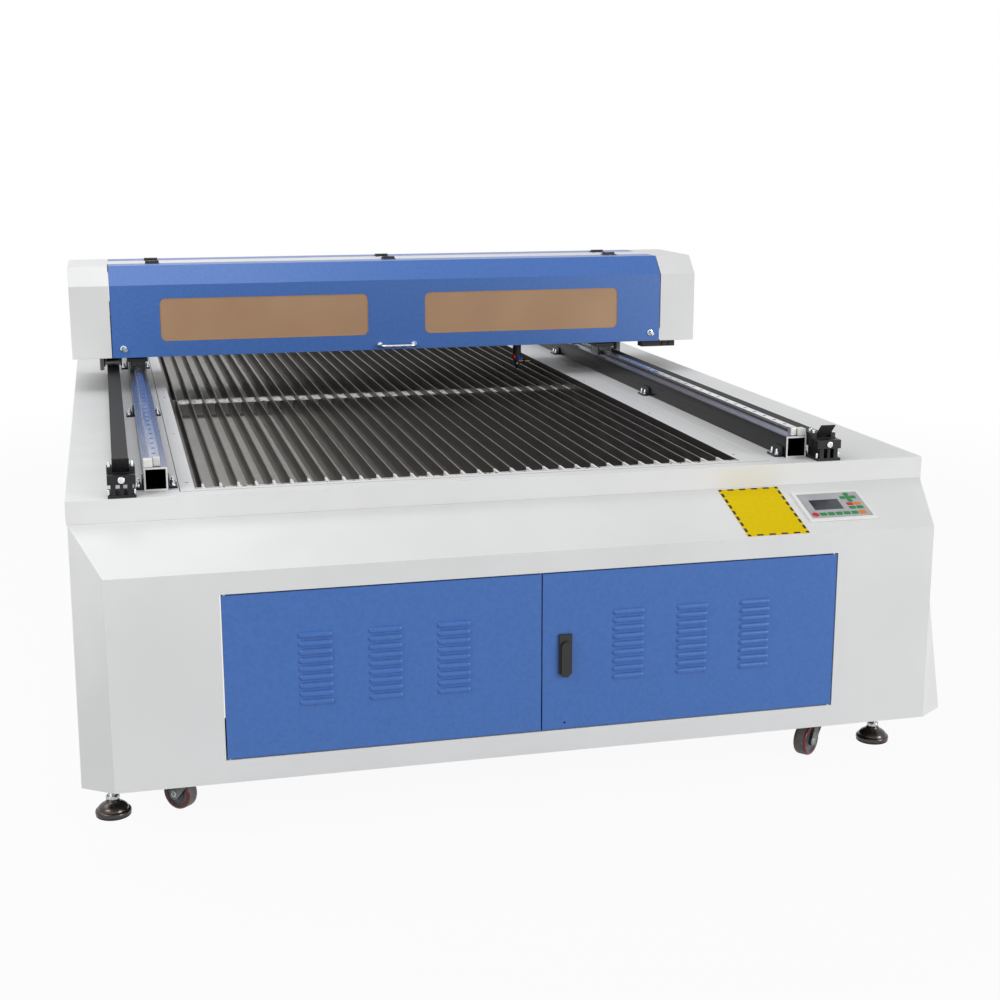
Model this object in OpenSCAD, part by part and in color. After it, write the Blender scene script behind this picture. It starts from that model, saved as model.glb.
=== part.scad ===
// Flatbed carbon dioxide laser cutting machine with a moving gantry.
// X runs across the machine, +Y to the rear, +Z up; the floor is z = 0.
// The origin is on the floor at the middle of the overall box.

/* [Cabinet] */
// Overall width of the deck
deck_w = 1930; // [1700:2:2400]
// Length of the deck, front edge to rear edge
deck_l = 3010; // [2900:10:3700]
// Height of the deck's top face above the floor
deck_h = 715; // [640:5:800]
// Depth of the vertical flange round the deck
band_h = 50; // [30:1:60]
// Height of the cabinet's bottom edge above the floor
body_z = 150; // [130:1:200]
// Thickness of the deck, shell and door sheets
sheet_t = 2.5; // [2:0.5:4]
// Outer size of the welded frame tubes
frame_t = 50; // [40:1:60]

/* [Console] */
// How far the front console stands out from the deck edge
console_run = 194; // [150:1:260]
// Drop of the sloping control face
slope_drop = 68; // [40:1:110]
// How far each end of the console face is set in
console_inset = 68; // [40:1:110]
// How far the lower front corner of each side stands out
toe_run = 147; // [100:1:149]
// Width of the door opening
door_open_w = 1341; // [1150:1:1400]
// Height of the door opening
door_open_h = 352; // [300:1:360]
// Height of the opening's lower edge above the cabinet's bottom edge
door_sill = 49; // [35:1:60]
// Clearance round each door
door_gap = 3; // [2.8:0.1:5]
// Depth of the door's turned edge
door_lip = 18; // [14:1:24]
// Louvre rows in a column
louvre_n = 9; // [5:1:10]
// Pitch of the louvre rows
louvre_pitch = 18; // [15:0.5:20]
// Width of a louvre
louvre_w = 72; // [50:1:90]
// How far a louvre stands out of the door
louvre_out = 5; // [3:0.5:6]
// Half the height of a louvre
louvre_hh = 7; // [6:0.1:7.4]

/* [Work bed] */
// Width of the bed opening
bed_w = 1234; // [1000:2:1240]
// Length of the bed opening
bed_l = 2640; // [2200:10:2660]
// Front edge of the bed opening behind the deck's front edge
bed_y = 60; // [58:1:90]
// Sideways offset of the bed's centre
bed_dx = -82; // [-110:1:-60]
// Pitch of the knife slats
slat_pitch = 38.1; // [32:0.1:60]
// Height of a knife slat
slat_h = 50; // [40:1:60]
// Thickness of a knife slat
slat_t = 2.5; // [1.5:0.5:4]

/* [Rails and drive] */
// Distance between the two rail tubes' centres
gauge = 1454; // [1440:2:1600]
// Sideways offset of the rails' centre
rail_dx = -52; // [-60:1:-45]
// Outer size of the square rail tube
tube_a = 50; // [40:1:60]
// Wall of the rail tube
tube_wall = 4; // [3:0.5:6]
// Width of the linear rail
rail_w = 20; // [15:1:25]
// Height of the linear rail
rail_h = 17.5; // [12.5:0.5:22]
// Gap between the left tube and its belt anchors
anchor_gap_l = 17; // [12:1:24]
// Gap between the right tube and its belt anchors
anchor_gap_r = 3; // [2:1:12]
// Width of the open timing belt
belt_w = 35; // [25:1:40]
// Height of the belt's underside above the deck
belt_z = 50; // [46:1:56]
// Thickness of the belt
belt_t = 3; // [2:0.5:4]

/* [Gantry] */
// Rest position of the gantry's centre behind the deck's front edge
gantry_y = 1700; // [1400:10:2000]
// Depth of the gantry cover, front to rear
gantry_d = 400; // [380:5:460]
// Gap from the deck to the cover's lower edge
cover_gap = 96; // [92:1:110]
// Height of the gantry cover
cover_h = 265.5; // [250:0.5:320]
// Height and run of the sloping facet along the top edges
facet = 54; // [40:1:60]
// Width of each end cap
cap_w = 113; // [100:1:125]
// Width of the fixed strip between the two covers
strip_w = 120; // [100:2:140]
// Sheet thickness of covers and caps
cover_t = 2; // [1.5:0.5:3]
// Width of one window
win_w = 620; // [500:5:640]
// Height of a window
win_h = 125; // [90:1:140]
// Distance from the gantry's middle to a window's inner edge
win_in = 88; // [75:1:110]
// Rest position of the cutting head's axis
head_x = 402; // [300:2:420]
// Gap from the deck to the nozzle's tip
nozzle_gap = 12; // [10:0.5:20]

/* [Feet and casters] */
// Diameter of a levelling pad
pad_d = 78; // [60:1:90]
// Diameter of a levelling screw
foot_screw_d = 20; // [16:1:24]
// Diameter of a caster wheel
wheel_d = 75; // [60:1:80]
// Tread width of a caster wheel
wheel_w = 32; // [24:1:36]
// Offset of the wheel's axle from the swivel axis
caster_trail = 36; // [30:1:40]

/* [Hidden] */
$fn = 48;
e = 0.01;                       // overshoot of a cut
gap = 0.3;                      // running gap between moving faces
fit = 0.05;                     // radial clearance of a pin in its bore
hw = deck_w / 2;                // half the deck width
skin_x = hw - sheet_t;          // outer face of the side skins
band_z = deck_h - band_h;       // lower edge of the deck flange
latch_t = 6;                    // latch base plate
handle_t = 5;                   // latch handle
latch_out = latch_t + gap + handle_t;
y_mid = (deck_l - console_run - latch_out) / 2;
// frame
ftop = deck_h - sheet_t;        // top of the frame, under the deck sheet
fx = hw - 60;                   // centre of the outer frame tubes
post_y = [5 + frame_t / 2, bed_y + bed_l / 2, bed_y + bed_l + 40, deck_l - 5 - frame_t / 2];
weld = 0.1;                     // seam between two frame tubes
// bed
bed_x0 = bed_dx - bed_w / 2;
bed_x1 = bed_dx + bed_w / 2;
bed_y1 = bed_y + bed_l;
ledge_l = 31;                   // left ledge of the bed ring
ledge_r = 65;                   // right ledge
ledge_f = 20;                   // front strip
ledge_b = 40;                   // rear strip
groove = 1.5;                   // visible joint between ring and deck
slat_n = floor((bed_w - 52) / slat_pitch) + 1;
slat_x0 = bed_x0 + 19;          // first slat
slat_z = deck_h - 2;            // top edge of the slats
slat_drop = 15;                 // middle cross beam below the slats' top edges
slat_floor = 8;                 // slats above the tray
tray_z = slat_z - slat_h - slat_floor;
tray_t = 2;
comb_t = 3;                     // thickness of the notched cross beams
beam_ys = [bed_y + 12, post_y[1], bed_y1 - 12];
// rails
xl = rail_dx - gauge / 2;       // left tube's centre
xr = rail_dx + gauge / 2;       // right tube's centre
tube_y0 = 60;                   // tube's front end
tube_y1 = deck_l - 60;
rail_z = deck_h + tube_a;       // underside of the linear rails
rail_top = rail_z + rail_h;
anchor_y = 5;                   // anchor's front edge behind the deck edge
anchor_l = 70;
clamp_n = 4;
clamp_l = 48;
clamp_foot = 20;                // width of a clamp's foot
clamp_bolt = 11;                // bolts from the tube's side
clamp_y0 = anchor_y + anchor_l + 1 + clamp_l / 2;
clamp_pitch = (deck_l - 2 * clamp_y0) / (clamp_n - 1);
anchor_w = 58;
bxl = xl - tube_a / 2 - anchor_gap_l - anchor_w / 2; // belts' centres
bxr = xr + tube_a / 2 + anchor_gap_r + anchor_w / 2;
bz = deck_h + belt_z;           // belts' underside
stop_l = 26;                    // white end stop along the rail
// gantry
gf = gantry_y - gantry_d / 2;   // front face
gb = gantry_y + gantry_d / 2;   // rear face
cz0 = deck_h + cover_gap;       // lower edge of the covers
cz1 = cz0 + cover_h;            // top face
cap_x = hw - cap_w;             // inner edge of the caps
cover_x = cap_x - 2.5;          // half length of the covers
block_l = 77;
block_w = 44;
block_top = rail_z + 30;        // top of the bearing blocks
plate_t = 10;
plate_y = gantry_d / 2 - 20;    // half length of the carriage plates
plate_top = block_top + plate_t;
beam_z0 = plate_top + 40;
beam_h = 90;
beam_y0 = gantry_y - 50;
beam_d = 120;
beam_wall = 5;
shaft_y = gantry_y + 5;
shaft_z = plate_top + 10;
shaft_r = 10;
pulley_r = 18;
idler_r = 7;
idler_dy = 35;
idler_z = bz + belt_t + gap + idler_r;
axle_r = 4;
brk_in = belt_w / 2 + 5;        // inner face of an idler bracket's cheek
brk_t = 4;
plate_w = 2 * (bxr - xr - brk_in - brk_t - 0.5); // carriage plate, as wide as the brackets leave room
hinge_r = 4;
hinge_z = cz1 + hinge_r;
hinge_dy = strip_w / 2 + 2;
hinge_xs = [-720, 0, 720];
hinge_w = 40;
lock_x = cap_x - 34;
lock_z = cz0 + 27;
lock_r = 8;
cam_l = 44;
handle_l = 106;
xrail_z = beam_z0 + 45;
head_y = gf + 85;
lens_r = 13;
nozzle_z = deck_h + nozzle_gap;
tube_r = 40;
ltube_y = gantry_y + 130;
ltube_z = beam_z0 + beam_h + 58;
ltube_l = 1520;
// doors
dz0 = body_z + door_sill;       // opening's lower edge
dz1 = dz0 + door_open_h;
dox0 = -door_open_w / 2 - 2.5;  // opening's left edge
dox1 = dox0 + door_open_w;
split = (dox0 + dox1) / 2 - 3;  // joint between the doors
pin_in = 8.2;                   // pivot axis inside the opening's corner
pin_back = 5.2;                 // pivot axis behind the door's face
pin_r = 2.5;
dface = -console_run;           // front face
latch_x = split + 51;
latch_z = dz0 + 171;
// feet and casters
foot_x = fx;
foot_ys = [post_y[0] + 25, deck_l - 55];
nut_h = 14;
cast_x = 735;
cast_ys = [post_y[0], post_y[3]];
wheel_r = wheel_d / 2;
lift = 1;                       // casters hang just clear of the floor
fork_z = wheel_r + lift + 50;   // top of the fork's crown
cast_a = [134, 218, 315, 250];  // direction of each trail, from +X

// ---------- helpers ----------
module place() translate([0, -y_mid, 0]) children();
// box between two corners
module bx(x0, x1, y0, y1, z0, z1) translate([x0, y0, z0]) cube([x1 - x0, y1 - y0, z1 - z0]);
// cylinder along X, Y or Z from a start point
module cx(x0, x1, y, z, r) translate([x0, y, z]) rotate([0, 90, 0]) cylinder(r = r, h = x1 - x0);
module cy(x, y0, y1, z, r) translate([x, y1, z]) rotate([90, 0, 0]) cylinder(r = r, h = y1 - y0);
module cz(x, y, z0, z1, r) translate([x, y, z0]) cylinder(r = r, h = z1 - z0);
// a part and its mirror image across the rails' centre
module both() { children(); translate([2 * rail_dx, 0, 0]) mirror([1, 0, 0]) children(); }
// extrusion along X of an outline in Y and Z
module along_x(x0, x1) translate([x0, 0, 0]) rotate([90, 0, 90]) linear_extrude(height = x1 - x0) children();
// onto the sloping control face: x across, y down the slope, z out of the face
slope_a = atan2(slope_drop, console_run);
slope_len = norm([slope_drop, console_run]);
module on_slope(x, d) translate([x, -d * cos(slope_a), band_z - d * sin(slope_a) + 0.02]) rotate([slope_a, 0, 0]) children();
// pressed louvre centred on x, z: a rounded rib with ball ends
louvre_xe = louvre_w / 2 - louvre_hh;
louvre_c = (louvre_hh * louvre_hh - louvre_out * louvre_out) / (2 * louvre_out);
module louvre(x, z) intersection() {
  union() {
    cx(x - louvre_xe, x + louvre_xe, dface + louvre_c, z, louvre_c + louvre_out);
    for (s = [-1, 1]) translate([x + s * louvre_xe, dface + louvre_c, z]) sphere(r = louvre_c + louvre_out);
  }
  bx(x - louvre_w, x + louvre_w, dface - louvre_out - 1, dface + 1, z - louvre_hh - 1, z + louvre_hh + 1);
}
// hollow behind the rib, and the slit under its lip that lets the air out downwards
module louvre_cut(x, z) {
  h = louvre_hh * 0.62;
  bx(x - louvre_xe, x + louvre_xe, dface - louvre_out * 0.52, dface + sheet_t + 1, z - h, z + h);
  bx(x - louvre_xe + 1, x + louvre_xe - 1, dface - louvre_out * 0.56, dface - louvre_out * 0.2, z - louvre_hh - 1, z - h + 0.1);
}

// ---------- console loft ----------
// outline of the console at height z, drawn inside by t
function side_y(z, t) = t * 1.02 - toe_run * (band_z - z) / (band_z - body_z);
function low_z() = band_z - slope_drop;
function face_y(z, t) = z < low_z() - t * 0.6 ? -console_run + t
  : -console_run + t + (console_run - t) * (z - (low_z() - t * 0.6)) / (slope_drop - t * 0.45);
function face_x(z, t) = z < low_z() - t * 0.6 ? hw - console_inset - t * 0.85
  : hw - console_inset - t * 0.85
    + (console_inset - sheet_t - t * 0.15) * (z - (low_z() - t * 0.6)) / (slope_drop - t * 0.45);
function ring(z, t, yb) = let (ys = min(side_y(z, t), yb - 1), yf = min(face_y(z, t), yb - 0.5),
    xs = skin_x - t, xf = min(face_x(z, t), xs - 0.2))
  [[-xs, yb, z], [-xs, ys, z], [-xf, yf, z], [xf, yf, z], [xs, ys, z], [xs, yb, z]];
module loft(t, z0, yb) {
  zt = band_z - t * 1.05;
  zl = low_z() - t * 0.6;
  zs = concat([for (i = [0:6]) z0 + (zl - z0) * i / 6], [zl + (zt - zl) / 3, zl + (zt - zl) * 2 / 3, zt]);
  n = len(zs);
  pts = [for (z = zs) each ring(z, t, yb)];
  polyhedron(points = pts, convexity = 4, faces = concat(
    [[for (i = [0:5]) i]],
    [for (k = [0:n - 2], i = [0:5]) [6 * k + i, 6 * (k + 1) + i, 6 * (k + 1) + (i + 1) % 6, 6 * k + (i + 1) % 6]],
    [[for (i = [5:-1:0]) 6 * (n - 1) + i]]));
}

// ---------- cabinet ----------
// one welded tube, with half a seam left all round
module member(x0, x1, y0, y1, z0, z1)
  bx(x0 + weld / 2, x1 - weld / 2, y0 + weld / 2, y1 - weld / 2, z0 + weld / 2, z1 - weld / 2);
module base_frame() place() color("dimgray") {
  f = frame_t / 2;
  xi = fx - f;
  mz = tray_z - tray_t;
  for (s = [-1, 1]) {
    member(s * fx - f, s * fx + f, post_y[0] - f, post_y[3] + f, body_z, body_z + frame_t);
    member(s * fx - f, s * fx + f, post_y[0] - f, post_y[3] + f, ftop - frame_t, ftop);
    for (y = post_y) member(s * fx - f, s * fx + f, y - f, y + f, body_z + frame_t, ftop - frame_t);
    // caster stands under the end tubes
    for (y = cast_ys) member(s * cast_x - 50, s * cast_x + 50, y - f, y + f, fork_z + 8, body_z);
  }
  for (y = post_y) member(-xi, xi, y - f, y + f, body_z, body_z + frame_t);
  for (y = [post_y[0], post_y[2], post_y[3]]) member(-xi, xi, y - f, y + f, ftop - frame_t, ftop);
  member(-xi, xi, post_y[1] - f, post_y[1] + f, mz - frame_t, mz);
  // bearers under the rails and under the bed's ledges
  for (x = [xl, xr, bed_x0 - ledge_l, bed_x1 + ledge_r], i = [0, 2])
    member(x - f, x + f, post_y[i] + f, post_y[i == 0 ? 2 : 3] - f, ftop - frame_t, ftop);
}

module cabinet_skins() place() color("whitesmoke") {
  for (s = [-1, 1]) {
    bx(s < 0 ? -skin_x : skin_x - sheet_t, s < 0 ? -skin_x + sheet_t : skin_x,
       sheet_t, deck_l - sheet_t, body_z, ftop - 3);
    // flat strip between the panel's lower edge and the frame
    bx(s < 0 ? -skin_x + sheet_t + weld : fx + frame_t / 2, s < 0 ? -fx - frame_t / 2 : skin_x - sheet_t - weld,
       60, deck_l - 60, body_z, body_z + sheet_t);
  }
  difference() {
    bx(-skin_x + sheet_t + weld, skin_x - sheet_t - weld, deck_l - 2 * sheet_t, deck_l - sheet_t, body_z, ftop - 3);
    // cooling slots low in the rear panel
    for (i = [0:5], s = [-1, 1]) bx(s * 500 - 100, s * 500 + 100, deck_l - 20, deck_l,
      body_z + 120 + 22 * i, body_z + 128 + 22 * i);
  }
}

module console_shell() place() color("whitesmoke") {
  difference() {
    union() {
      difference() {
        loft(0, body_z, sheet_t);
        loft(sheet_t, body_z + sheet_t, sheet_t + 5);
      }
      // upstand behind the deck flange
      bx(-hw + 12, hw - 12, 1.2, sheet_t + 2, band_z - 12, band_z - 1.5);
      bx(-hw + 12, hw - 12, sheet_t, sheet_t + 2, band_z - 12, ftop - 4);
      // turned edge round the door opening
      for (z = [dz0 - sheet_t, dz1]) bx(dox0 - sheet_t, dox1 + sheet_t, dface + 1, dface + 26, z, z + sheet_t);
      for (x = [dox0 - sheet_t, dox1]) bx(x, x + sheet_t, dface + 1, dface + 26, dz0 - sheet_t, dz1 + sheet_t);
    }
    bx(dox0, dox1, dface - 5, dface + 30, dz0, dz1);
  }
  // door pivots
  for (x = [dox0 + pin_in, dox1 - pin_in]) {
    cz(x, dface + pin_back, dz0 - sheet_t, dz0 + door_gap + 9, pin_r);
    cz(x, dface + pin_back, dz1 - door_gap - 9, dz1 + sheet_t, pin_r);
  }
}

module deck_plate() place() color("whitesmoke") difference() {
  bx(-hw, hw, 0, deck_l, band_z, deck_h);
  bx(-hw + sheet_t, hw - sheet_t, sheet_t, deck_l - sheet_t, band_z - 1, ftop);
  bx(bed_x0 - ledge_l - groove, bed_x1 + ledge_r + groove, bed_y - ledge_f - groove,
     bed_y1 + ledge_b + groove, ftop - 1, deck_h + 1);
}

module bed_ring() place() color("gainsboro") difference() {
  union() {
    bx(bed_x0 - ledge_l, bed_x1 + ledge_r, bed_y - ledge_f, bed_y1 + ledge_b, ftop, deck_h);
    bx(bed_x0 - sheet_t, bed_x1 + sheet_t, bed_y - sheet_t, bed_y1 + sheet_t, tray_z - tray_t, deck_h);
  }
  bx(bed_x0, bed_x1, bed_y, bed_y1, tray_z - tray_t - 1, deck_h + 1);
  // fixing holes along the left ledge and the right ledge
  for (y = [bed_y + 70:600:bed_y1]) for (x = [bed_x0 - 14, bed_x1 + 14]) cz(x, y, ftop - 1, deck_h + 1, 3);
}

module slat_beams() place() color("white") for (k = [0:2]) difference() {
  y = beam_ys[k];
  bx(bed_x0, bed_x1, y - comb_t / 2, y + comb_t / 2, tray_z, k == 1 ? slat_z - slat_drop : deck_h - 0.5);
  for (i = [0:slat_n - 1]) bx(slat_x0 + i * slat_pitch - slat_t / 2, slat_x0 + i * slat_pitch + slat_t / 2,
    y - comb_t, y + comb_t, slat_z - slat_h, deck_h);
}

module knife_slats() place() color("darkslategray")
  for (i = [0:slat_n - 1])
    bx(slat_x0 + i * slat_pitch - slat_t / 2, slat_x0 + i * slat_pitch + slat_t / 2,
       bed_y + 5, bed_y1 - 5, slat_z - slat_h, slat_z);

module tray_sheets() place() color("lightgray") {
  n = 3;
  l = bed_l / n;
  for (i = [0:n - 1]) bx(bed_x0, bed_x1, bed_y + i * l + (i > 0 ? 1 : 0), bed_y + (i + 1) * l - (i < n - 1 ? 1 : 0),
    tray_z - tray_t, tray_z);
}

// ---------- rails and drive on the deck ----------
module rail_tubes() place() color("black") for (x = [xl, xr]) difference() {
  bx(x - tube_a / 2, x + tube_a / 2, tube_y0, tube_y1, deck_h, deck_h + tube_a);
  bx(x - tube_a / 2 + tube_wall, x + tube_a / 2 - tube_wall, tube_y0 - 1, tube_y1 + 1,
     deck_h + tube_wall, deck_h + tube_a - tube_wall);
}

module y_rails() place() color("silver") for (x = [xl, xr]) difference() {
  bx(x - rail_w / 2, x + rail_w / 2, tube_y0 + stop_l, deck_l - tube_y0 - stop_l, rail_z, rail_top);
  for (y = [tube_y0 + 70:60:tube_y1 - 60]) {
    cz(x, y, rail_z - 1, rail_top + 1, 3);
    cz(x, y, rail_top - 8, rail_top + 1, 4.75);
  }
}

// black angle that holds a rail tube down, on the side s of the tube at x
module tube_clamp(x, s, y) {
  x0 = x + s * tube_a / 2;
  bx(min(x0, x0 + s * clamp_foot), max(x0, x0 + s * clamp_foot), y - clamp_l / 2, y + clamp_l / 2, deck_h, deck_h + 5);
  bx(min(x0, x0 + s * 4), max(x0, x0 + s * 4), y - clamp_l / 2, y + clamp_l / 2, deck_h, deck_h + 24);
}
module rail_clamps() place() color("black")
  for (x = [xl, xr], s = [-1, 1], i = [0:clamp_n - 1]) tube_clamp(x, s, clamp_y0 + i * clamp_pitch);

// pan or cap head screw standing on z
module bolt_z(x, y, z, r, h) { cz(x, y, z, z + h, r); cz(x, y, z + h, z + h * 2.2, r * 0.55); }
module chrome_bolts() place() color("silver") {
  for (x = [xl, xr], s = [-1, 1], i = [0:clamp_n - 1])
    for (m = [-1, 1]) bolt_z(x + s * (tube_a / 2 + clamp_bolt), clamp_y0 + i * clamp_pitch + m * clamp_l * 0.28, deck_h + 5, 5.5, 6);
  // belt anchors: four clamp screws, two foot screws and one tension screw each
  for (x = [bxl, bxr], m = [0, 1]) translate([0, m * deck_l, 0]) mirror([0, m, 0]) {
    for (s = [-1, 1], y = [anchor_y + 38, anchor_y + 57]) cz(x + s * clamp_sx, y, bz + belt_t + 6, bz + belt_t + 14, 4.2);
    for (s = [-1, 1]) cz(x + s * 25.9, anchor_y + 9, deck_h + 6, deck_h + 17, 3.1);
    cy(x, anchor_y - 3.5, anchor_y, bz - 12, 7);
  }
}

module rail_stops() place() color("white") for (x = [xl, xr], m = [0, 1])
  translate([x, m * deck_l, 0]) mirror([x == xl ? 1 : 0, 0, 0]) mirror([0, m, 0]) {
    // buffer on the tube's outer half and clip over the rail's end
    bx(tube_a / 2 - 20, tube_a / 2 - 1, tube_y0 + 2, tube_y0 + stop_l, rail_z, rail_z + 17);
    bx(-rail_w / 2 - 1, tube_a / 2 - 21, tube_y0 + 9, tube_y0 + stop_l, rail_z, rail_z + rail_h + 2);
  }

// flat belt with its free tail standing up and forward out of each clamp
module drive_belts() place() color("black") for (x = [bxl, bxr]) {
  y0 = anchor_y + 42;
  bx(x - belt_w / 2, x + belt_w / 2, y0, deck_l - y0, bz, bz + belt_t);
  for (m = [0, 1]) translate([0, m * deck_l, 0]) mirror([0, m, 0])
    along_x(x - belt_w / 2, x + belt_w / 2) polygon([[y0 - weld, bz + belt_t], [y0 - weld, bz], [y0 - 3, bz + 1],
      [y0 - 33, bz + 30], [y0 - 31, bz + 32], [y0 - 1, bz + belt_t + 1]]);
}

clamp_sx = belt_w / 2 + 5;
module belt_anchor(x) {
  w = anchor_w / 2;
  y0 = anchor_y;
  bx(x - w, x + w, y0, y0 + anchor_l, deck_h, deck_h + 6);
  // three posts with two openings between them
  for (p = [[-22.5, -12], [-3.5, 3.5], [12, 22.5]]) bx(x + p[0], x + p[1], y0 + 2, y0 + anchor_l - 4, deck_h + 6, bz - 22);
  bx(x - w, x + w, y0, y0 + 24, bz - 22, bz - 2);
  bx(x - w, x + w, y0 + 28, y0 + 66, bz - 22, bz - 1);
  bx(x - 8, x + 8, y0 + 20, y0 + 30, bz - 18, bz - 6);
  // bed of the clamp and the plate over the belt
  bx(x - belt_w / 2, x + belt_w / 2, y0 + 42, y0 + 66, bz - 2, bz);
  bx(x - w, x + w, y0 + 44, y0 + 66, bz + belt_t, bz + belt_t + 6);
  for (s = [-1, 1]) bx(x + s * (w + belt_w / 2) / 2 - (w - belt_w / 2) / 2, x + s * (w + belt_w / 2) / 2 + (w - belt_w / 2) / 2,
    y0 + 32, y0 + 66, bz - 2, bz + belt_t + 6);
}
module belt_anchors() place() color("black") for (x = [bxl, bxr], m = [0, 1])
  translate([0, m * deck_l, 0]) mirror([0, m, 0]) belt_anchor(x);

module leveling_feet() place() color("gray") for (s = [-1, 1], y = foot_ys) translate([s * foot_x, y, 0]) {
  rotate_extrude() polygon([[0, 0], [pad_d / 2, 0], [pad_d / 2, 6], [pad_d / 2 - 5, 13],
    [18, 22], [14, 30], [0, 30]]);
  cz(0, 0, 30, body_z, foot_screw_d / 2);
  translate([0, 0, body_z - nut_h]) cylinder(r = foot_screw_d * 0.85, h = nut_h, $fn = 6);
}

// ---------- control panel and notice ----------
bez = [163, 120];
fac = [144, 97];
module panel_bezel() place() color("ivory") on_slope(702, 100) difference() {
  translate([-bez[0] / 2, -bez[1] / 2, 0]) cube([bez[0], bez[1], 4]);
  translate([-fac[0] / 2 - 0.5, -fac[1] / 2 - 0.5, 1.5]) cube([fac[0] + 1, fac[1] + 1, 5]);
}
module panel_face() place() color("gray") on_slope(702, 100) difference() {
  translate([-fac[0] / 2, -fac[1] / 2, 1.5]) cube([fac[0], fac[1], 3.5]);
  translate([-55, -19, 3.5]) cube([70, 42, 3]);
}
module panel_screen() place() color("darkslategray") on_slope(702, 100)
  translate([-54.8, -18.8, 3.5]) cube([69.6, 41.6, 0.9]);
key_p = 13;
module key(x, y, w, h) translate([x - w / 2, y - h / 2, 5]) cube([w, h, 0.8]);
module panel_keys() place() color("green") on_slope(702, 100) {
  // arrow cross, action keys and the bottom row
  for (p = [[0, 1], [-1, 0], [0, 0], [1, 0], [0, -1]]) key(47 + p[0] * key_p, 28 + p[1] * 10.5, 10, 8);
  for (i = [0, 1], j = [0, 1]) key(41 + i * 18, 4 - j * 13, 14, 8);
  for (i = [1:5]) key(-60 + i * 20, -37, 13, 9);
  key(60, -37, 15, 10);
  translate([-60, -37, 5]) cylinder(r = 7.5, h = 0.8);
}
module notice_plate() place() color("gold") on_slope(529, slope_len / 2)
  translate([-72, -97, 0]) cube([144, 194, 0.8]);

// ---------- doors ----------
module door(x0, x1, cols) {
  z0 = dz0 + door_gap;
  z1 = dz1 - door_gap;
  lz = z0 + 100 + 8;
  difference() {
    union() {
      difference() {
        bx(x0, x1, dface, dface + door_lip, z0, z1);
        bx(x0 + sheet_t, x1 - sheet_t, dface + sheet_t, dface + door_lip + 1, z0 + sheet_t, z1 - sheet_t);
      }
      for (c = cols, i = [0:louvre_n - 1]) louvre(c, lz + i * louvre_pitch);
    }
    for (c = cols, i = [0:louvre_n - 1]) louvre_cut(c, lz + i * louvre_pitch);
    children();
  }
}
module pivot_holes(x) for (z = [dz0, dz1 - 30]) cz(x, dface + pin_back, z, z + 30, pin_r + fit);
module door_left() place() color("royalblue")
  door(dox0 + door_gap, split - door_gap / 2, [for (k = [-1:1]) (dox0 + split) / 2 + k * 144.5])
    pivot_holes(dox0 + pin_in);
module door_right() place() color("royalblue")
  door(split + door_gap / 2, dox1 - door_gap, [for (k = [-1:1]) (dox1 + split) / 2 + k * 144.5]) {
    pivot_holes(dox1 - pin_in);
    cy(latch_x, dface - 1, dface + 8, latch_z, 9);
    cy(latch_x, dface - 1, dface + 8, dz0 + 16, 2.5);
  }
module latch_body() place() color("black") difference() {
  union() {
    bx(latch_x - 14, latch_x + 14, dface - latch_t, dface, latch_z - 44, latch_z + 44);
    cy(latch_x, dface - latch_t, dface, latch_z - 39, 12);
  }
  cy(latch_x, dface - latch_t - 1, dface + 1, latch_z, 7 + fit);
}
module latch_handle() place() color("black") {
  y0 = dface - latch_out;
  for (z = [latch_z - 39, latch_z + 18]) cy(latch_x, y0, y0 + handle_t, z, 10.5);
  bx(latch_x - 10.5, latch_x + 10.5, y0, y0 + handle_t, latch_z - 39, latch_z + 18);
  cy(latch_x, y0 + 1, dface + door_lip + 6, latch_z, 7);
  bx(latch_x - 8, latch_x + 8, dface + door_lip + 2, dface + door_lip + 5, latch_z - 60, latch_z);
}

// ---------- gantry ----------
// outline of the gantry cover, drawn inside by t
function gpro(t) = [[gf + t, cz0 - (t > 0 ? 1 : 0)], [gf + t, cz1 - facet - t * 0.41], [gf + facet + t * 0.41, cz1 - t],
  [gb - facet - t * 0.41, cz1 - t], [gb - t, cz1 - facet - t * 0.41], [gb - t, cz0 - (t > 0 ? 1 : 0)]];

module gantry_beam() place() color("black") difference() {
  bx(-cap_x, cap_x, beam_y0, beam_y0 + beam_d, beam_z0, beam_z0 + beam_h);
  bx(-cap_x - 1, cap_x + 1, beam_y0 + beam_wall, beam_y0 + beam_d - beam_wall,
     beam_z0 + beam_wall, beam_z0 + beam_h - beam_wall);
  // slot that the head's drive tab runs in
  bx(-cap_x + 40, cap_x - 40, beam_y0 - 1, beam_y0 + beam_wall + 1, xrail_z + 20, xrail_z + 32);
}

module carriage_plates() place() color("black") for (x = [xl, xr]) {
  bx(x - plate_w / 2, x + plate_w / 2, gantry_y - plate_y, gantry_y + plate_y, block_top, plate_top);
  difference() {
    bx(x - 25, x + 25, beam_y0, beam_y0 + beam_d, plate_top - 1, beam_z0);
    cx(x - 30, x + 30, shaft_y, shaft_z, shaft_r + fit);
  }
}

module rail_carriages() place() color("silver") for (x = [xl, xr], m = [-1, 1]) {
  yc = gantry_y + m * (plate_y - block_l / 2);
  difference() {
    bx(x - block_w / 2, x + block_w / 2, yc - block_l / 2, yc + block_l / 2, rail_z + 4, block_top);
    bx(x - rail_w / 2 - gap, x + rail_w / 2 + gap, yc - block_l, yc + block_l, rail_z, rail_top + gap);
  }
}

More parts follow.
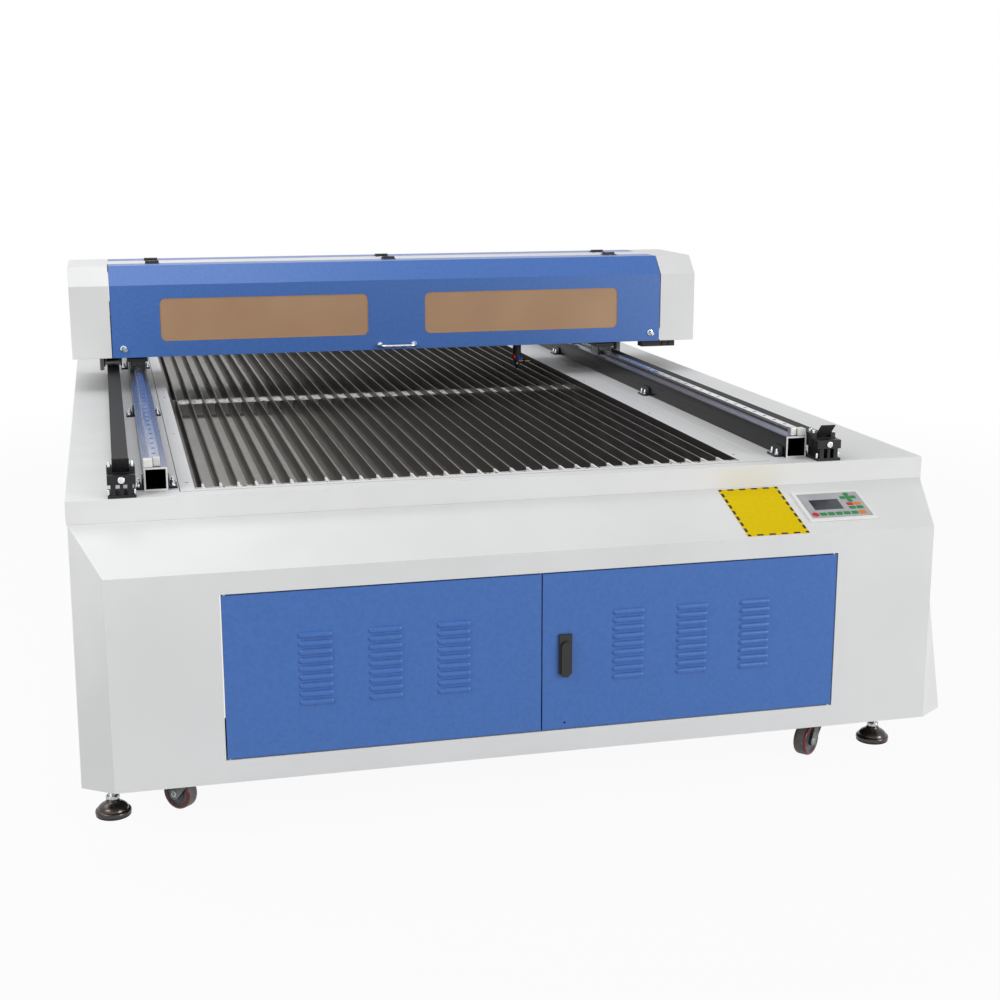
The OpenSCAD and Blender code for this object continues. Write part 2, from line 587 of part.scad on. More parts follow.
// two cheeks and a top bridge over each belt
module idler_brackets() place() color("black") for (x = [bxl, bxr]) difference() {
  union() {
    for (s = [-1, 1]) {
      x0 = x + s * brk_in;
      bx(min(x0, x0 + s * brk_t), max(x0, x0 + s * brk_t), shaft_y - idler_dy - 14, shaft_y + idler_dy + 14,
         bz + 1, beam_z0);
    }
    // lip turned outward along the front of the outer cheek
    o = x < 0 ? -1 : 1;
    x1 = x + o * (brk_in + brk_t - e);
    bx(min(x1, x1 + o * 12), max(x1, x1 + o * 12), shaft_y - idler_dy - 14, shaft_y - idler_dy - 11, bz - 10, beam_z0);
    bx(x - brk_in, x + brk_in, shaft_y - idler_dy - 14, shaft_y + idler_dy + 14, beam_z0 - 4, beam_z0);
  }
  cx(x - brk_in - brk_t - 1, x + brk_in + brk_t + 1, shaft_y, shaft_z, shaft_r + fit);
  for (m = [-1, 1]) cx(x - brk_in - brk_t - 1, x + brk_in + brk_t + 1, shaft_y + m * idler_dy, idler_z, axle_r + fit);
}

// belt over each drive pulley, between its two idlers
module belt_loops() place() color("black") for (x = [bxl, bxr])
  along_x(x - belt_w / 2, x + belt_w / 2) {
    r = pulley_r + gap;
    difference() {
      translate([shaft_y, shaft_z]) circle(r = r + belt_t);
      translate([shaft_y, shaft_z]) circle(r = r);
      translate([shaft_y - 60, shaft_z - 60]) square([120, 60]);
    }
    for (m = [-1, 1]) translate([shaft_y, 0]) scale([m, 1])
      translate([r, idler_z + 3]) square([belt_t, shaft_z - idler_z - 3]);
  }

module end_frames() place() color("whitesmoke") for (s = [-1, 1])
  // the front edge is cut back where the lock's cam turns
  along_x(s < 0 ? -cap_x - 5 : cap_x, s < 0 ? -cap_x : cap_x + 5)
    polygon([[gf + 26, beam_z0 + 3], [gf + 26, lock_z + cam_l + 8], [gf + cover_t, lock_z + cam_l + 32],
      gpro(cover_t)[1], gpro(cover_t)[2], gpro(cover_t)[3], gpro(cover_t)[4], [gb - cover_t, beam_z0 + 3]]);

module end_caps() place() color("whitesmoke") for (s = [-1, 1]) difference() {
  along_x(s < 0 ? -hw : cap_x, s < 0 ? -cap_x : hw) polygon(gpro(0));
  along_x(s < 0 ? -hw + cover_t : cap_x - 1, s < 0 ? -cap_x + 1 : hw - cover_t) polygon(gpro(cover_t));
}

module top_strip() place() color("whitesmoke") {
  bx(-cap_x, cap_x, gantry_y - strip_w / 2, gantry_y + strip_w / 2, cz1 - cover_t, cz1);
  for (m = [-1, 1]) {
    y = gantry_y + m * (strip_w / 2 - 1);
    bx(-cap_x, cap_x, y - 1, y + 1, cz1 - 25, cz1 - cover_t);
  }
}

// fixed leaves, outer knuckles and pins of the cover hinges
module cover_hinges() place() color("black") for (x = hinge_xs, m = [-1, 1]) translate([x, gantry_y, 0]) scale([1, m, 1]) {
  for (s = [-1, 1]) {
    x0 = s < 0 ? -hinge_w / 2 : 8;
    cx(x0, x0 + hinge_w / 2 - 8, hinge_dy, hinge_z, hinge_r);
    bx(x0, x0 + hinge_w / 2 - 8, strip_w / 2 - 18, hinge_dy - 1, cz1, cz1 + 2.5);
  }
  cx(-9, 9, hinge_dy, hinge_z, 1.6);
}
// moving leaf and middle knuckle on a cover, mirrored with m
module moving_leaf(x, m) translate([x, gantry_y, 0]) scale([1, m, 1]) difference() {
  union() {
    cx(-7.5, 7.5, hinge_dy, hinge_z, hinge_r);
    bx(-7.5, 7.5, hinge_dy + 1, hinge_dy + 10, cz1, cz1 + 2.5);
    bx(-hinge_w / 2, hinge_w / 2, hinge_dy + 7, hinge_dy + 24, cz1 - e, cz1 + 2.5);
  }
  cx(-10, 10, hinge_dy, hinge_z, 1.6 + fit);
}

module side_bracket() place() color("black") {
  bx(cap_x - 42, cap_x + 70, gf + 55, gf + 95, deck_h + 71, deck_h + 88);
  bx(cap_x + 5, cap_x + 17, gf + 55, gf + 95, deck_h + 87, beam_z0 + 40);
  for (x = [cap_x + 32, cap_x + 54]) cy(x, gf + 50, gf + 55, deck_h + 79, 6);
}

module x_rail() place() color("silver")
  bx(-cap_x + 30, cap_x - 30, beam_y0 - rail_h, beam_y0, xrail_z - rail_w / 2, xrail_z + rail_w / 2);

module motor(l, a) {
  intersection() {
    translate([-a / 2, -a / 2, 0]) cube([a, a, l]);
    cylinder(r = a * 0.66, h = l);
  }
}
module drive_motors() place() color("black") {
  // double-shaft motor on the drive shaft
  difference() {
    translate([-55, shaft_y, shaft_z]) rotate([0, 90, 0]) motor(110, 56);
    cx(-60, 60, shaft_y, shaft_z, shaft_r + fit);
  }
  bx(-30, 30, shaft_y - 20, shaft_y + 20, shaft_z + 26, beam_z0);
  // head drive motor standing on the beam
  translate([cap_x - 60, gantry_y - 12, beam_z0 + beam_h]) motor(76, 56);
}

module optics_mounts() place() color("silver") {
  sz = beam_z0 + beam_h - 10;
  bx(-cap_x, cap_x, beam_y0 + beam_d, gb - 12, sz, sz + 5);
  for (s = [-1, 1]) translate([s * 520, 0, 0]) difference() {
    union() {
      bx(-12, 12, ltube_y - 46, ltube_y + 46, sz + 5, ltube_z);
      cx(-12, 12, ltube_y, ltube_z, 46);
    }
    cx(-13, 13, ltube_y, ltube_z, tube_r + gap);
  }
  // corner mirrors: one behind, on the shelf, and one in front, on the left end frame
  bx(-815, -785, ltube_y - 18, ltube_y + 18, sz + 5, ltube_z + 22);
  bx(-cap_x, -815, head_y - 18, head_y + 18, xrail_z + 40, xrail_z + 80);
  translate([-800, head_y, xrail_z + 60]) rotate([0, 0, 45]) cube([6, 34, 34], center = true);
  bx(-816, -796, head_y - 5, head_y + 5, xrail_z + 50, xrail_z + 70);
}

module laser_tube() place() color("lightcyan") {
  cx(-ltube_l / 2, ltube_l / 2, ltube_y, ltube_z, tube_r);
  for (s = [-1, 1]) cx(s < 0 ? -ltube_l / 2 - 14 : ltube_l / 2 - 1, s < 0 ? -ltube_l / 2 + 1 : ltube_l / 2 + 14,
    ltube_y, ltube_z, tube_r * 0.55);
}

// one hinged cover as sheet, front half of the outline, mirrored with m for the rear
module cover_shell(m) translate([0, gantry_y, 0]) scale([1, m, 1]) translate([0, -gantry_y, 0]) {
  o = gpro(0);
  i = gpro(cover_t);
  yl = gantry_y - hinge_dy - 2;
  along_x(-cover_x, cover_x) polygon([[gf, cz0], o[1], o[2], [yl, cz1], [yl, cz1 - cover_t], i[2], i[1],
    [gf + cover_t, cz0 + cover_t], [gf + 14, cz0 + cover_t], [gf + 14, cz0]]);
}
module front_cover() place() color("royalblue") {
  difference() {
    cover_shell(1);
    for (s = [-1, 1]) {
      x0 = s < 0 ? -win_in - win_w : win_in;
      z0 = cz0 + 46;
      translate([x0 + 18, gf + 10, z0 + 18]) rotate([90, 0, 0]) linear_extrude(height = 30)
        union() {
          translate([-18, 0]) square([win_w, win_h - 36]);
          translate([0, -18]) square([win_w - 36, win_h]);
          for (a = [0, win_w - 36], b = [0, win_h - 36]) translate([a, b]) circle(r = 18);
        }
      cy(s * lock_x, gf - 5, gf + 5, lock_z, lock_r + fit);
    }
  }
  for (x = hinge_xs) moving_leaf(x, -1);
}
module front_windows() place() color("tan") for (s = [-1, 1])
  bx(s < 0 ? -win_in - win_w - 12 : win_in - 12, s < 0 ? -win_in + 12 : win_in + win_w + 12,
     gf + cover_t, gf + cover_t + 3, cz0 + 34, cz0 + 58 + win_h);
module cover_handle() place() color("silver") {
  z = cz0 + 14;
  for (s = [-1, 1]) cy(s * handle_l / 2, gf - 34, gf, z, 4.5);
  cx(-handle_l / 2 - 4.5, handle_l / 2 + 4.5, gf - 34, z, 4.5);
  for (s = [-1, 1]) cy(s * handle_l / 2, gf - 2, gf, z, 8);
}
module rear_cover() place() color("royalblue") {
  cover_shell(-1);
  for (x = hinge_xs) moving_leaf(x, 1);
}
module cover_lock(x) {
  cy(x, gf - 4, gf - gap, lock_z, lock_r + 2.5);
  cy(x, gf - 1, gf + 14, lock_z, lock_r);
  bx(x - 6.5, x + 6.5, gf + 10, gf + 13, lock_z - 6.5, lock_z + cam_l);
}
module lock_left() place() color("silver") cover_lock(-lock_x);
module lock_right() place() color("silver") cover_lock(lock_x);

// ---------- cutting head ----------
module head_carriage() place() color("black") {
  y1 = beam_y0 - 4;               // rear of the bearing block
  y0 = beam_y0 - 30;              // front of the block
  zt = xrail_z + 60;
  difference() {
    bx(head_x - 35, head_x + 35, y0, y1, xrail_z - 24, xrail_z + 18);
    bx(head_x - 40, head_x + 40, beam_y0 - rail_h - gap, y1 + 1, xrail_z - rail_w / 2 - gap, xrail_z + rail_w / 2 + gap);
  }
  // drive tab through the slot in the beam
  bx(head_x - 12, head_x + 12, y0, beam_y0 + beam_wall + 8, xrail_z + 22, xrail_z + 28);
  bx(head_x - 45, head_x + 45, y0 - 8, y0, xrail_z - 40, xrail_z + 82);
  // clamp ring of the lens tube
  for (z = [xrail_z - 36, xrail_z + 8]) difference() {
    union() {
      cz(head_x, head_y, z, z + 20, lens_r + 8);
      bx(head_x - 20, head_x + 20, head_y, y0 - 8 + e, z, z + 20);
    }
    cz(head_x, head_y, z - 1, z + 21, lens_r + fit);
  }
  // mirror housing on top
  difference() {
    bx(head_x - 25, head_x + 25, head_y - 25, y0 - 8 + e, zt - 18, zt + 22);
    cx(head_x - 30, head_x, head_y, zt + 2, 12);
    cz(head_x, head_y, zt - 19, zt + 2, 12);
  }
}
module lens_tube() place() color("black") {
  zt = xrail_z + 30;
  difference() {
    union() {
      cz(head_x, head_y, nozzle_z + 26, zt, lens_r);
      translate([head_x, head_y, nozzle_z]) cylinder(r1 = 5, r2 = lens_r - 1, h = 26.1);
    }
    cz(head_x, head_y, nozzle_z - 1, zt + 1, 2);
    cz(head_x, head_y, nozzle_z + 30, zt + 1, lens_r - 6);
  }
  // air inlet with its barb, on the front right of the cone
  translate([head_x, head_y, nozzle_z + 24]) rotate([0, 0, -35]) {
    cx(lens_r - 5, lens_r + 16, 0, 0, 5.5);
    cx(lens_r + 15, lens_r + 34, 0, 0, 3.2);
  }
}

// ---------- drive shaft and idlers ----------
module drive_shaft() place() color("silver") {
  cx(bxl - brk_in - brk_t, bxr + brk_in + brk_t, shaft_y, shaft_z, shaft_r);
  for (x = [bxl, bxr]) {
    cx(x - belt_w / 2, x + belt_w / 2, shaft_y, shaft_z, pulley_r);
    for (s = [-1, 1]) cx(x + s * (belt_w / 2 + 1) - 1, x + s * (belt_w / 2 + 1) + 1, shaft_y, shaft_z, pulley_r - 1);
  }
}
module idler(x, m) {
  cx(x - brk_in + 1, x + brk_in - 1, shaft_y + m * idler_dy, idler_z, idler_r);
  cx(x - brk_in - brk_t, x + brk_in + brk_t, shaft_y + m * idler_dy, idler_z, axle_r);
}
module idler_fl() place() color("silver") idler(bxl, -1);
module idler_rl() place() color("silver") idler(bxl, 1);
module idler_fr() place() color("silver") idler(bxr, -1);
module idler_rr() place() color("silver") idler(bxr, 1);

// ---------- casters ----------
module at_caster(i) translate([(i == 0 || i == 2 ? -1 : 1) * cast_x, cast_ys[i < 2 ? 0 : 1], 0])
  rotate([0, 0, cast_a[i]]) children();
// swivel fork, trailing along +X of its own frame
module fork(i) place() color("dimgray") at_caster(i) {
  w = wheel_w / 2 + 2;
  zc = wheel_r + lift;
  cz(0, 0, fork_z - 3, fork_z + 8 - gap, 28);
  for (s = [-1, 1]) difference() {
    translate([0, s > 0 ? w + 3 : -w, 0]) rotate([90, 0, 0]) linear_extrude(height = 3) hull() {
      translate([-20, fork_z - 4]) square([40, 3], $fn = 32);
      translate([caster_trail, zc]) circle(r = 13, $fn = 32);
    }
    cy(caster_trail, -w - 6, w + 6, zc, 5 + fit);
  }
  translate([-20, -w - 3, fork_z - 4]) cube([40, 2 * w + 6, 3]);
}
module wheel(i) place() color("gray") at_caster(i) translate([caster_trail, 0, wheel_r + lift]) rotate([90, 0, 0]) {
  rotate_extrude() polygon([[0, -wheel_w / 2], [wheel_r - 4, -wheel_w / 2], [wheel_r, -wheel_w / 2 + 4],
    [wheel_r, wheel_w / 2 - 4], [wheel_r - 4, wheel_w / 2], [0, wheel_w / 2]]);
  translate([0, 0, -wheel_w / 2 - 6]) cylinder(r = 5, h = wheel_w + 12);
}
module caster_fork_fl() fork(0);
module caster_fork_fr() fork(1);
module caster_fork_rl() fork(2);
module caster_fork_rr() fork(3);
module caster_wheel_fl() wheel(0);
module caster_wheel_fr() wheel(1);
module caster_wheel_rl() wheel(2);
module caster_wheel_rr() wheel(3);

base_frame();
cabinet_skins();
console_shell();
deck_plate();
bed_ring();
slat_beams();
knife_slats();
tray_sheets();
rail_tubes();
y_rails();
rail_clamps();
chrome_bolts();
rail_stops();
drive_belts();
belt_anchors();
leveling_feet();
panel_bezel();
panel_face();
panel_screen();
panel_keys();
notice_plate();
door_left();
door_right();
latch_body();
latch_handle();
gantry_beam();
carriage_plates();
rail_carriages();
idler_brackets();
belt_loops();
end_frames();
end_caps();
top_strip();
cover_hinges();
side_bracket();
x_rail();
drive_motors();
optics_mounts();
laser_tube();
front_cover();
front_windows();
cover_handle();
rear_cover();
lock_left();
lock_right();
head_carriage();
lens_tube();
drive_shaft();
idler_fl();
idler_rl();
idler_fr();
idler_rr();
caster_fork_fl();
caster_fork_fr();
caster_fork_rl();
caster_fork_rr();
caster_wheel_fl();
caster_wheel_fr();
caster_wheel_rl();
caster_wheel_rr();
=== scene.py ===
from math import atan2, cos, pi, radians, sin, tau

import bmesh
import bpy
from mathutils import Matrix, Vector


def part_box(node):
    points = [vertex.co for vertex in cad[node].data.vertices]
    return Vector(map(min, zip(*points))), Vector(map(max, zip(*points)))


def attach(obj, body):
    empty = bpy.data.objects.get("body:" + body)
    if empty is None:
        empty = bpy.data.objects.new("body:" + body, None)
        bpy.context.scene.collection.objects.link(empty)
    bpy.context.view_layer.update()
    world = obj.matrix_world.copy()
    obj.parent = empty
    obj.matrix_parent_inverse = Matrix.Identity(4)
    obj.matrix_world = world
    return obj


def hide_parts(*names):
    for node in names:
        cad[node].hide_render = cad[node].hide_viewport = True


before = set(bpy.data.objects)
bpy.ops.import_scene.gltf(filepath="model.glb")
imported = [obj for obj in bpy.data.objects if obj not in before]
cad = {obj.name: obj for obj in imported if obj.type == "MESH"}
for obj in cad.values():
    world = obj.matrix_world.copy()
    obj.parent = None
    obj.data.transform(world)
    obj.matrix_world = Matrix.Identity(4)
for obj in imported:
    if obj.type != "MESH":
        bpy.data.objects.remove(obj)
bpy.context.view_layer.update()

# ---- Camera ----
# A long standard lens at standing height, ahead of the machine's left corner,
# turned a little to the right and tipped down on to the bed.
lens = bpy.data.cameras.new("camera")
lens.lens, lens.sensor_width = 56.78, 36
camera = bpy.data.objects.new("camera", lens)
bpy.context.scene.collection.objects.link(camera)
eye, turned_right, tipped_down, rolled = (-0.8596, -4.66545, 1.4299), 13.963, 12.775, -0.076
camera.matrix_world = (
    Matrix.Translation(eye)
    @ Matrix.Rotation(radians(-turned_right), 4, "Z")
    @ Matrix.Rotation(radians(90 - tipped_down), 4, "X")
    @ Matrix.Rotation(radians(rolled), 4, "Z")
)
bpy.context.scene.camera = camera
bpy.context.scene.view_settings.view_transform = "Standard"


# ---- Studio floor and light ----
# A painted white floor that runs out of sight. To the eye, and in metal and
# glass, most of it is plain white, and the rest takes the machine's soft shadow.
def linear(code):
    """Linear RGBA of an sRGB hex colour."""
    parts = [int(code[i : i + 2], 16) / 255 for i in (0, 2, 4)]
    return [c / 12.92 if c <= 0.04045 else ((c + 0.055) / 1.055) ** 2.4 for c in parts] + [1]


def add(tree, kind, inputs=(), ramp=(), **settings):
    """A shader node in tree, its sockets filled with values or linked to other nodes' outputs."""
    node = tree.nodes.new("ShaderNode" + kind)
    for name, value in settings.items():
        setattr(node, name, value)
    for socket, value in dict(inputs).items():
        if isinstance(value, bpy.types.NodeSocket):
            tree.links.new(value, node.inputs[socket])
        else:
            node.inputs[socket].default_value = value
    for i, (place, colour) in enumerate(ramp):
        stops = node.color_ramp.elements
        stop = stops[i] if i < 2 else stops.new(place)
        stop.position, stop.color = place, linear(colour)
    return node


def seen_white(tree, lit, shown):
    """The lit shader, mixed with plain white for eye, mirror and glass rays."""
    path = add(tree, "LightPath").outputs
    rays = add(tree, "Math", {0: path["Is Camera Ray"], 1: path["Is Glossy Ray"]}, operation="MAXIMUM")
    rays = add(tree, "Math", {0: rays.outputs[0], 1: path["Is Transmission Ray"]}, operation="MAXIMUM")
    share = add(tree, "Math", {0: rays.outputs[0], 1: shown}, operation="MULTIPLY")
    white = add(tree, "Emission", {"Color": (1, 1, 1, 1), "Strength": 1.0})
    return add(tree, "MixShader", {0: share.outputs[0], 1: lit, 2: white.outputs[0]}).outputs[0]


floor_paint = bpy.data.materials.new("floor_paint")
floor_paint.use_nodes = True
tree = floor_paint.node_tree
tree.nodes.clear()
matt = add(tree, "BsdfDiffuse", {"Color": linear("D8D8D8")})
place = add(tree, "TexCoord").outputs["Object"]
away = add(tree, "VectorMath", {0: place}, operation="LENGTH").outputs["Value"]
# metres from the machine's middle at which the floor starts to whiten and is all white
near, far, near_share = 2.4, 4.5, 0.94
share = add(tree, "MapRange", {0: away, 1: near, 2: far, 3: near_share, 4: 1.0}).outputs[0]
# an ellipse of floor under the machine stays as dark as its shadow, so that no white line
# shows between the doors
shade_y, half_across, half_along, shade_share = 0.2, 0.55, 1.2, 0.1
squeeze = (1 / half_across, 1 / half_along, 0)
inward = add(tree, "VectorMath", {0: place, 1: (0, -shade_y, 0)}, operation="ADD").outputs[0]
inward = add(tree, "VectorMath", {0: inward, 1: squeeze}, operation="MULTIPLY").outputs[0]
inward = add(tree, "VectorMath", {0: inward}, operation="LENGTH").outputs["Value"]
open_floor = add(tree, "MapRange", {0: inward, 1: 0.85, 2: 1.0, 3: shade_share, 4: 1.0}).outputs[0]
share = add(tree, "Math", {0: share, 1: open_floor}, operation="MULTIPLY").outputs[0]
add(tree, "OutputMaterial", {"Surface": seen_white(tree, matt.outputs[0], share)})

bpy.ops.mesh.primitive_plane_add(size=80)
floor = bpy.context.object
floor.name = "studio_floor"
floor.data.materials.append(floor_paint)

world = bpy.data.worlds.new("studio")
bpy.context.scene.world = world
world.use_nodes = True
tree = world.node_tree
tree.nodes.clear()
sky = add(tree, "Background", {"Color": linear("F4F6FA"), "Strength": 0.36})
add(tree, "OutputWorld", {"Surface": seen_white(tree, sky.outputs[0], 1.0)})

# a softbox over the bed, a key from the front right and a weak fill from the front left:
# place, width, height, watts and the point that it is aimed at
for name, place, wide, tall, watts, aim in (
    ("softbox_top", (-1.8, 0.5, 4.2), 2.4, 4.4, 66, (-0.9, 0.2, 0.7)),
    ("softbox_right", (4.8, -6.4, 2.3), 2.6, 2.6, 225, (0.4, -0.9, 0.8)),
    ("softbox_left", (-2.7, -2.5, 2.4), 1.6, 1.6, 36, (-0.8, 0.1, 0.95)),
):
    lamp = bpy.data.lights.new(name, "AREA")
    lamp.shape, lamp.size, lamp.size_y, lamp.energy = "RECTANGLE", wide, tall, watts
    softbox = bpy.data.objects.new(name, lamp)
    bpy.context.scene.collection.objects.link(softbox)
    softbox.location = place
    softbox.rotation_euler = (Vector(aim) - Vector(place)).to_track_quat("-Z", "Y").to_euler()


# ---- Welded frame ----
# Square steel tubes welded into a table, hidden inside the skins but for the
# corners. Sprayed with a dark grey, half-matt paint.
def new_finish(name, ramp, grain_mm, rough, depth_mm=0.0, stretch=(1, 1, 1), tone_mm=0.0, **sockets):
    """A material whose tone, roughness and height follow a grain of about grain_mm.

    A stretch above 1 draws the grain out along that axis, and tone_mm gives the tone a
    coarser blotch of its own. Returns the material, its tree, shader, place and tone."""
    finish = bpy.data.materials.new(name)
    finish.use_nodes = True
    tree = finish.node_tree
    shader = tree.nodes["Principled BSDF"]
    for socket, value in sockets.items():
        shader.inputs[socket.replace("_", " ")].default_value = value
    place = add(tree, "TexCoord").outputs["Object"]
    per_metre = [1000 / grain_mm / s for s in stretch]
    scaled = add(tree, "VectorMath", {0: place, 1: per_metre}, operation="MULTIPLY").outputs[0]
    grain = add(tree, "TexNoise", {"Vector": scaled, "Scale": 1.0, "Detail": 3.0}).outputs["Fac"]
    blotch = grain
    if tone_mm:
        coarse = {"Vector": place, "Scale": 1000 / tone_mm, "Detail": 2.0}
        blotch = add(tree, "TexNoise", coarse).outputs["Fac"]
    # noise seldom leaves the middle of its range, so tone and roughness run across that
    start, span = 0.32, 0.36
    stops = [(start + span * at, colour) for at, colour in ramp]
    tone = add(tree, "ValToRGB", {0: blotch}, stops).outputs[0]
    tree.links.new(tone, shader.inputs["Base Color"])
    uneven = add(tree, "MapRange", {0: grain, 1: 0.3, 2: 0.7, 3: rough[0], 4: rough[1]}).outputs[0]
    tree.links.new(uneven, shader.inputs["Roughness"])
    if depth_mm:
        bump = add(tree, "Bump", {"Height": grain, "Distance": depth_mm / 1000, "Strength": 1.0})
        tree.links.new(bump.outputs[0], shader.inputs["Normal"])
    return finish, tree, shader, place, tone


def tinted(tree, shader, tone, share, colour):
    """Lays a second colour over the tone where share is 1, and returns the new tone."""
    mixed = add(tree, "Mix", {0: share, 6: tone, 7: linear(colour)}, data_type="RGBA").outputs[2]
    tree.links.new(mixed, shader.inputs["Base Color"])
    return mixed


def dress(finish, *nodes, edge_mm=0.0):
    """Puts a finish on CAD nodes, and breaks edges sharper than 35 degrees by edge_mm."""
    for node in nodes:
        for holder in cad[node].material_slots:
            holder.material = finish
        if edge_mm:
            for face in cad[node].data.polygons:
                face.use_smooth = True
            weld = cad[node].modifiers.new("weld", "WELD")
            weld.merge_threshold = 1e-5
            bevel = cad[node].modifiers.new("broken_edge", "BEVEL")
            bevel.width, bevel.segments = edge_mm / 1000, 2
            bevel.limit_method, bevel.angle_limit = "ANGLE", radians(35)
            cad[node].modifiers.new("even_shading", "WEIGHTED_NORMAL").keep_sharp = True


# dark grey spray paint: soft sheen, fine stipple
frame_paint = new_finish(
    "frame_spray_paint", ((0, "3B3D41"), (1, "45474B")), 4, (0.44, 0.56), 0.1, tone_mm=200)[0]
dress(frame_paint, "base_frame", edge_mm=2.0)


# ---- Cabinet sheets ----
# Folded 2.5 mm steel sheets: side skins, the tapered console front with its door
# opening, the flanged deck and the bed's surround. Powder coated white.

# baked powder coat: half-matt, an orange-peel skin, a shade uneven across each sheet
coat = (((0, "E6E6E5"), (1, "ECECEB")), 5, (0.38, 0.48), 0.04)
white_coat = new_finish("white_powder_coat", *coat, tone_mm=260)[0]
dress(white_coat, "cabinet_skins", "deck_plate", edge_mm=1.2)
dress(white_coat, "console_shell", edge_mm=1.0)


# ---- Cutting bed ----
# Notched white cross beams carry thirty-two loose steel knife slats over three
# zinc-coated tray sheets. The middle beam's flange is scorched by the laser, and the
# surround's upright walls are darkened to near black.
mm = 0.001
slat_low, slat_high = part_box("knife_slats")
beam_low, beam_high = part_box("slat_beams")
# the same powder coat, darkened to near black wherever the surround's sheet stands upright
coat_dark_on_uprights, tree, shader, place, tone = new_finish("powder_coat_dark_on_uprights", *coat, tone_mm=260)
upright = add(tree, "SeparateXYZ", {0: add(tree, "TexCoord").outputs["Normal"]}).outputs["Z"]
upright = add(tree, "Math", {0: upright}, operation="ABSOLUTE").outputs[0]
upright = add(tree, "MapRange", {0: upright, 1: 0.7, 2: 0.3}).outputs[0]
tinted(tree, shader, tone, upright, "262523")
dress(coat_dark_on_uprights, "bed_ring")

# white paint, browned in small spots along its upper edge
scorched, tree, shader, place, tone = new_finish(
    "scorched_white_paint", ((0, "EBEAE6"), (1, "F4F3F0")), 4, (0.42, 0.56), 0.08, tone_mm=60)
height = add(tree, "SeparateXYZ", {0: place}).outputs["Z"]
scorch_low, scorch_high = slat_high.z - 26 * mm, slat_high.z - 15 * mm
edge = add(tree, "MapRange", {0: height, 1: scorch_low, 2: scorch_high}).outputs[0]
spots = add(tree, "TexNoise", {"Vector": place, "Scale": 90.0, "Detail": 3.0}).outputs["Fac"]
spots = add(tree, "MapRange", {0: spots, 1: 0.55, 2: 0.62}).outputs[0]
burnt = add(tree, "Math", {0: edge, 1: spots}, operation="MULTIPLY").outputs[0]
tinted(tree, shader, tone, burnt, "7A5A41")
dress(scorched, "slat_beams")

# oxidised strip steel: faces sooted brown-black above and paler grey below, the grey partly
# cleaner steel and partly a painted reflection, with rolling streaks, the thin top edge
# rubbed paler
slat_steel, tree, shader, place, tone = new_finish(
    "oxidised_strip_steel", ((0, "302E2D"), (1, "54504D")), 9, (0.3, 0.45), 0.02, (1, 14, 1),
    Metallic=0.55)
height = add(tree, "SeparateXYZ", {0: place}).outputs["Z"]
# below the soot the faces turn paler grey: partly clean steel, partly a painted reflection
soot_low, paler_low = slat_high.z - 24 * mm, slat_high.z - 38 * mm
paler_below_soot_and_reflection = add(tree, "MapRange", {0: height, 1: soot_low, 2: paler_low, 4: 0.8}).outputs[0]
tone = tinted(tree, shader, tone, paler_below_soot_and_reflection, "A6A29D")
rub_low, rub_high = slat_high.z - 1.6 * mm, slat_high.z - 0.6 * mm
top = add(tree, "MapRange", {0: height, 1: rub_low, 2: rub_high}).outputs[0]
patchy = add(tree, "TexNoise", {"Vector": place, "Scale": 30.0, "Detail": 3.0}).outputs["Fac"]
wear = add(tree, "Math", {0: top, 1: patchy}, operation="MULTIPLY").outputs[0]
tinted(tree, shader, tone, wear, "8C8883")
dress(slat_steel, "knife_slats")

# galvanised sheet: pale warm grey, faint spangles a finger wide
tray_steel, tree, shader, place, tone = new_finish(
    "galvanised_sheet", ((0, "DFDDD8"), (1, "E8E6E1")), 30, (0.45, 0.6), tone_mm=120, Metallic=0.05)
spangle = add(tree, "TexVoronoi", {"Vector": place, "Scale": 1000 / 18}).outputs["Color"]
pale = add(tree, "MapRange", {0: spangle, 3: 0.0, 4: 0.25}).outputs[0]
tinted(tree, shader, tone, pale, "C9C6C1")
dress(tray_steel, "tray_sheets")


def tapered_box(bm, low, high, place=None, finish=0, edge=0.0):
    """A box between two corners, its upper face drawn in by edge on each side."""
    place = place or Matrix()
    corners = []
    for z, d in ((low[2], 0), (high[2] - edge, 0), (high[2], edge)):
        x0, y0, x1, y1 = low[0] + d, low[1] + d, high[0] - d, high[1] - d
        around = ((x0, y0), (x1, y0), (x1, y1), (x0, y1))
        corners.append([bm.verts.new(place @ Vector((x, y, z))) for x, y in around])
    for below, above in zip(corners, corners[1:]):
        for k in range(4):
            j = (k + 1) % 4
            bm.faces.new((below[k], below[j], above[j], above[k])).material_index = finish
    for ring in (corners[0], corners[-1]):
        bm.faces.new(ring).material_index = finish


def piece(name, bm, body, slot, *finishes, instead_of=()):
    """A new object from bm, riding on a body, edges over 38 degrees sharp and the rest smooth."""
    bmesh.ops.remove_doubles(bm, verts=bm.verts, dist=1e-6)
    bmesh.ops.recalc_face_normals(bm, faces=bm.faces)
    for edge in bm.edges:
        edge.smooth = len(edge.link_faces) == 2 and edge.calc_face_angle() < radians(38)
    for face in bm.faces:
        face.smooth = True
    mesh = bpy.data.meshes.new(name)
    bm.to_mesh(mesh)
    bm.free()
    for finish in finishes:
        mesh.materials.append(finish)
    made = bpy.data.objects.new(name, mesh)
    bpy.context.scene.collection.objects.link(made)
    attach(made, body)
    if instead_of:
        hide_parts(*instead_of)
    return made


# white sheet clips folded over both ends of each slat, and the middle beam's flange
# between the slats, bent forward from its upper edge
pitch, half_slat = 38.1 * mm, 1.25 * mm
slat_count = round((slat_high.x - slat_low.x) / pitch) + 1
slat_xs = [slat_low.x + half_slat + i * pitch for i in range(slat_count)]
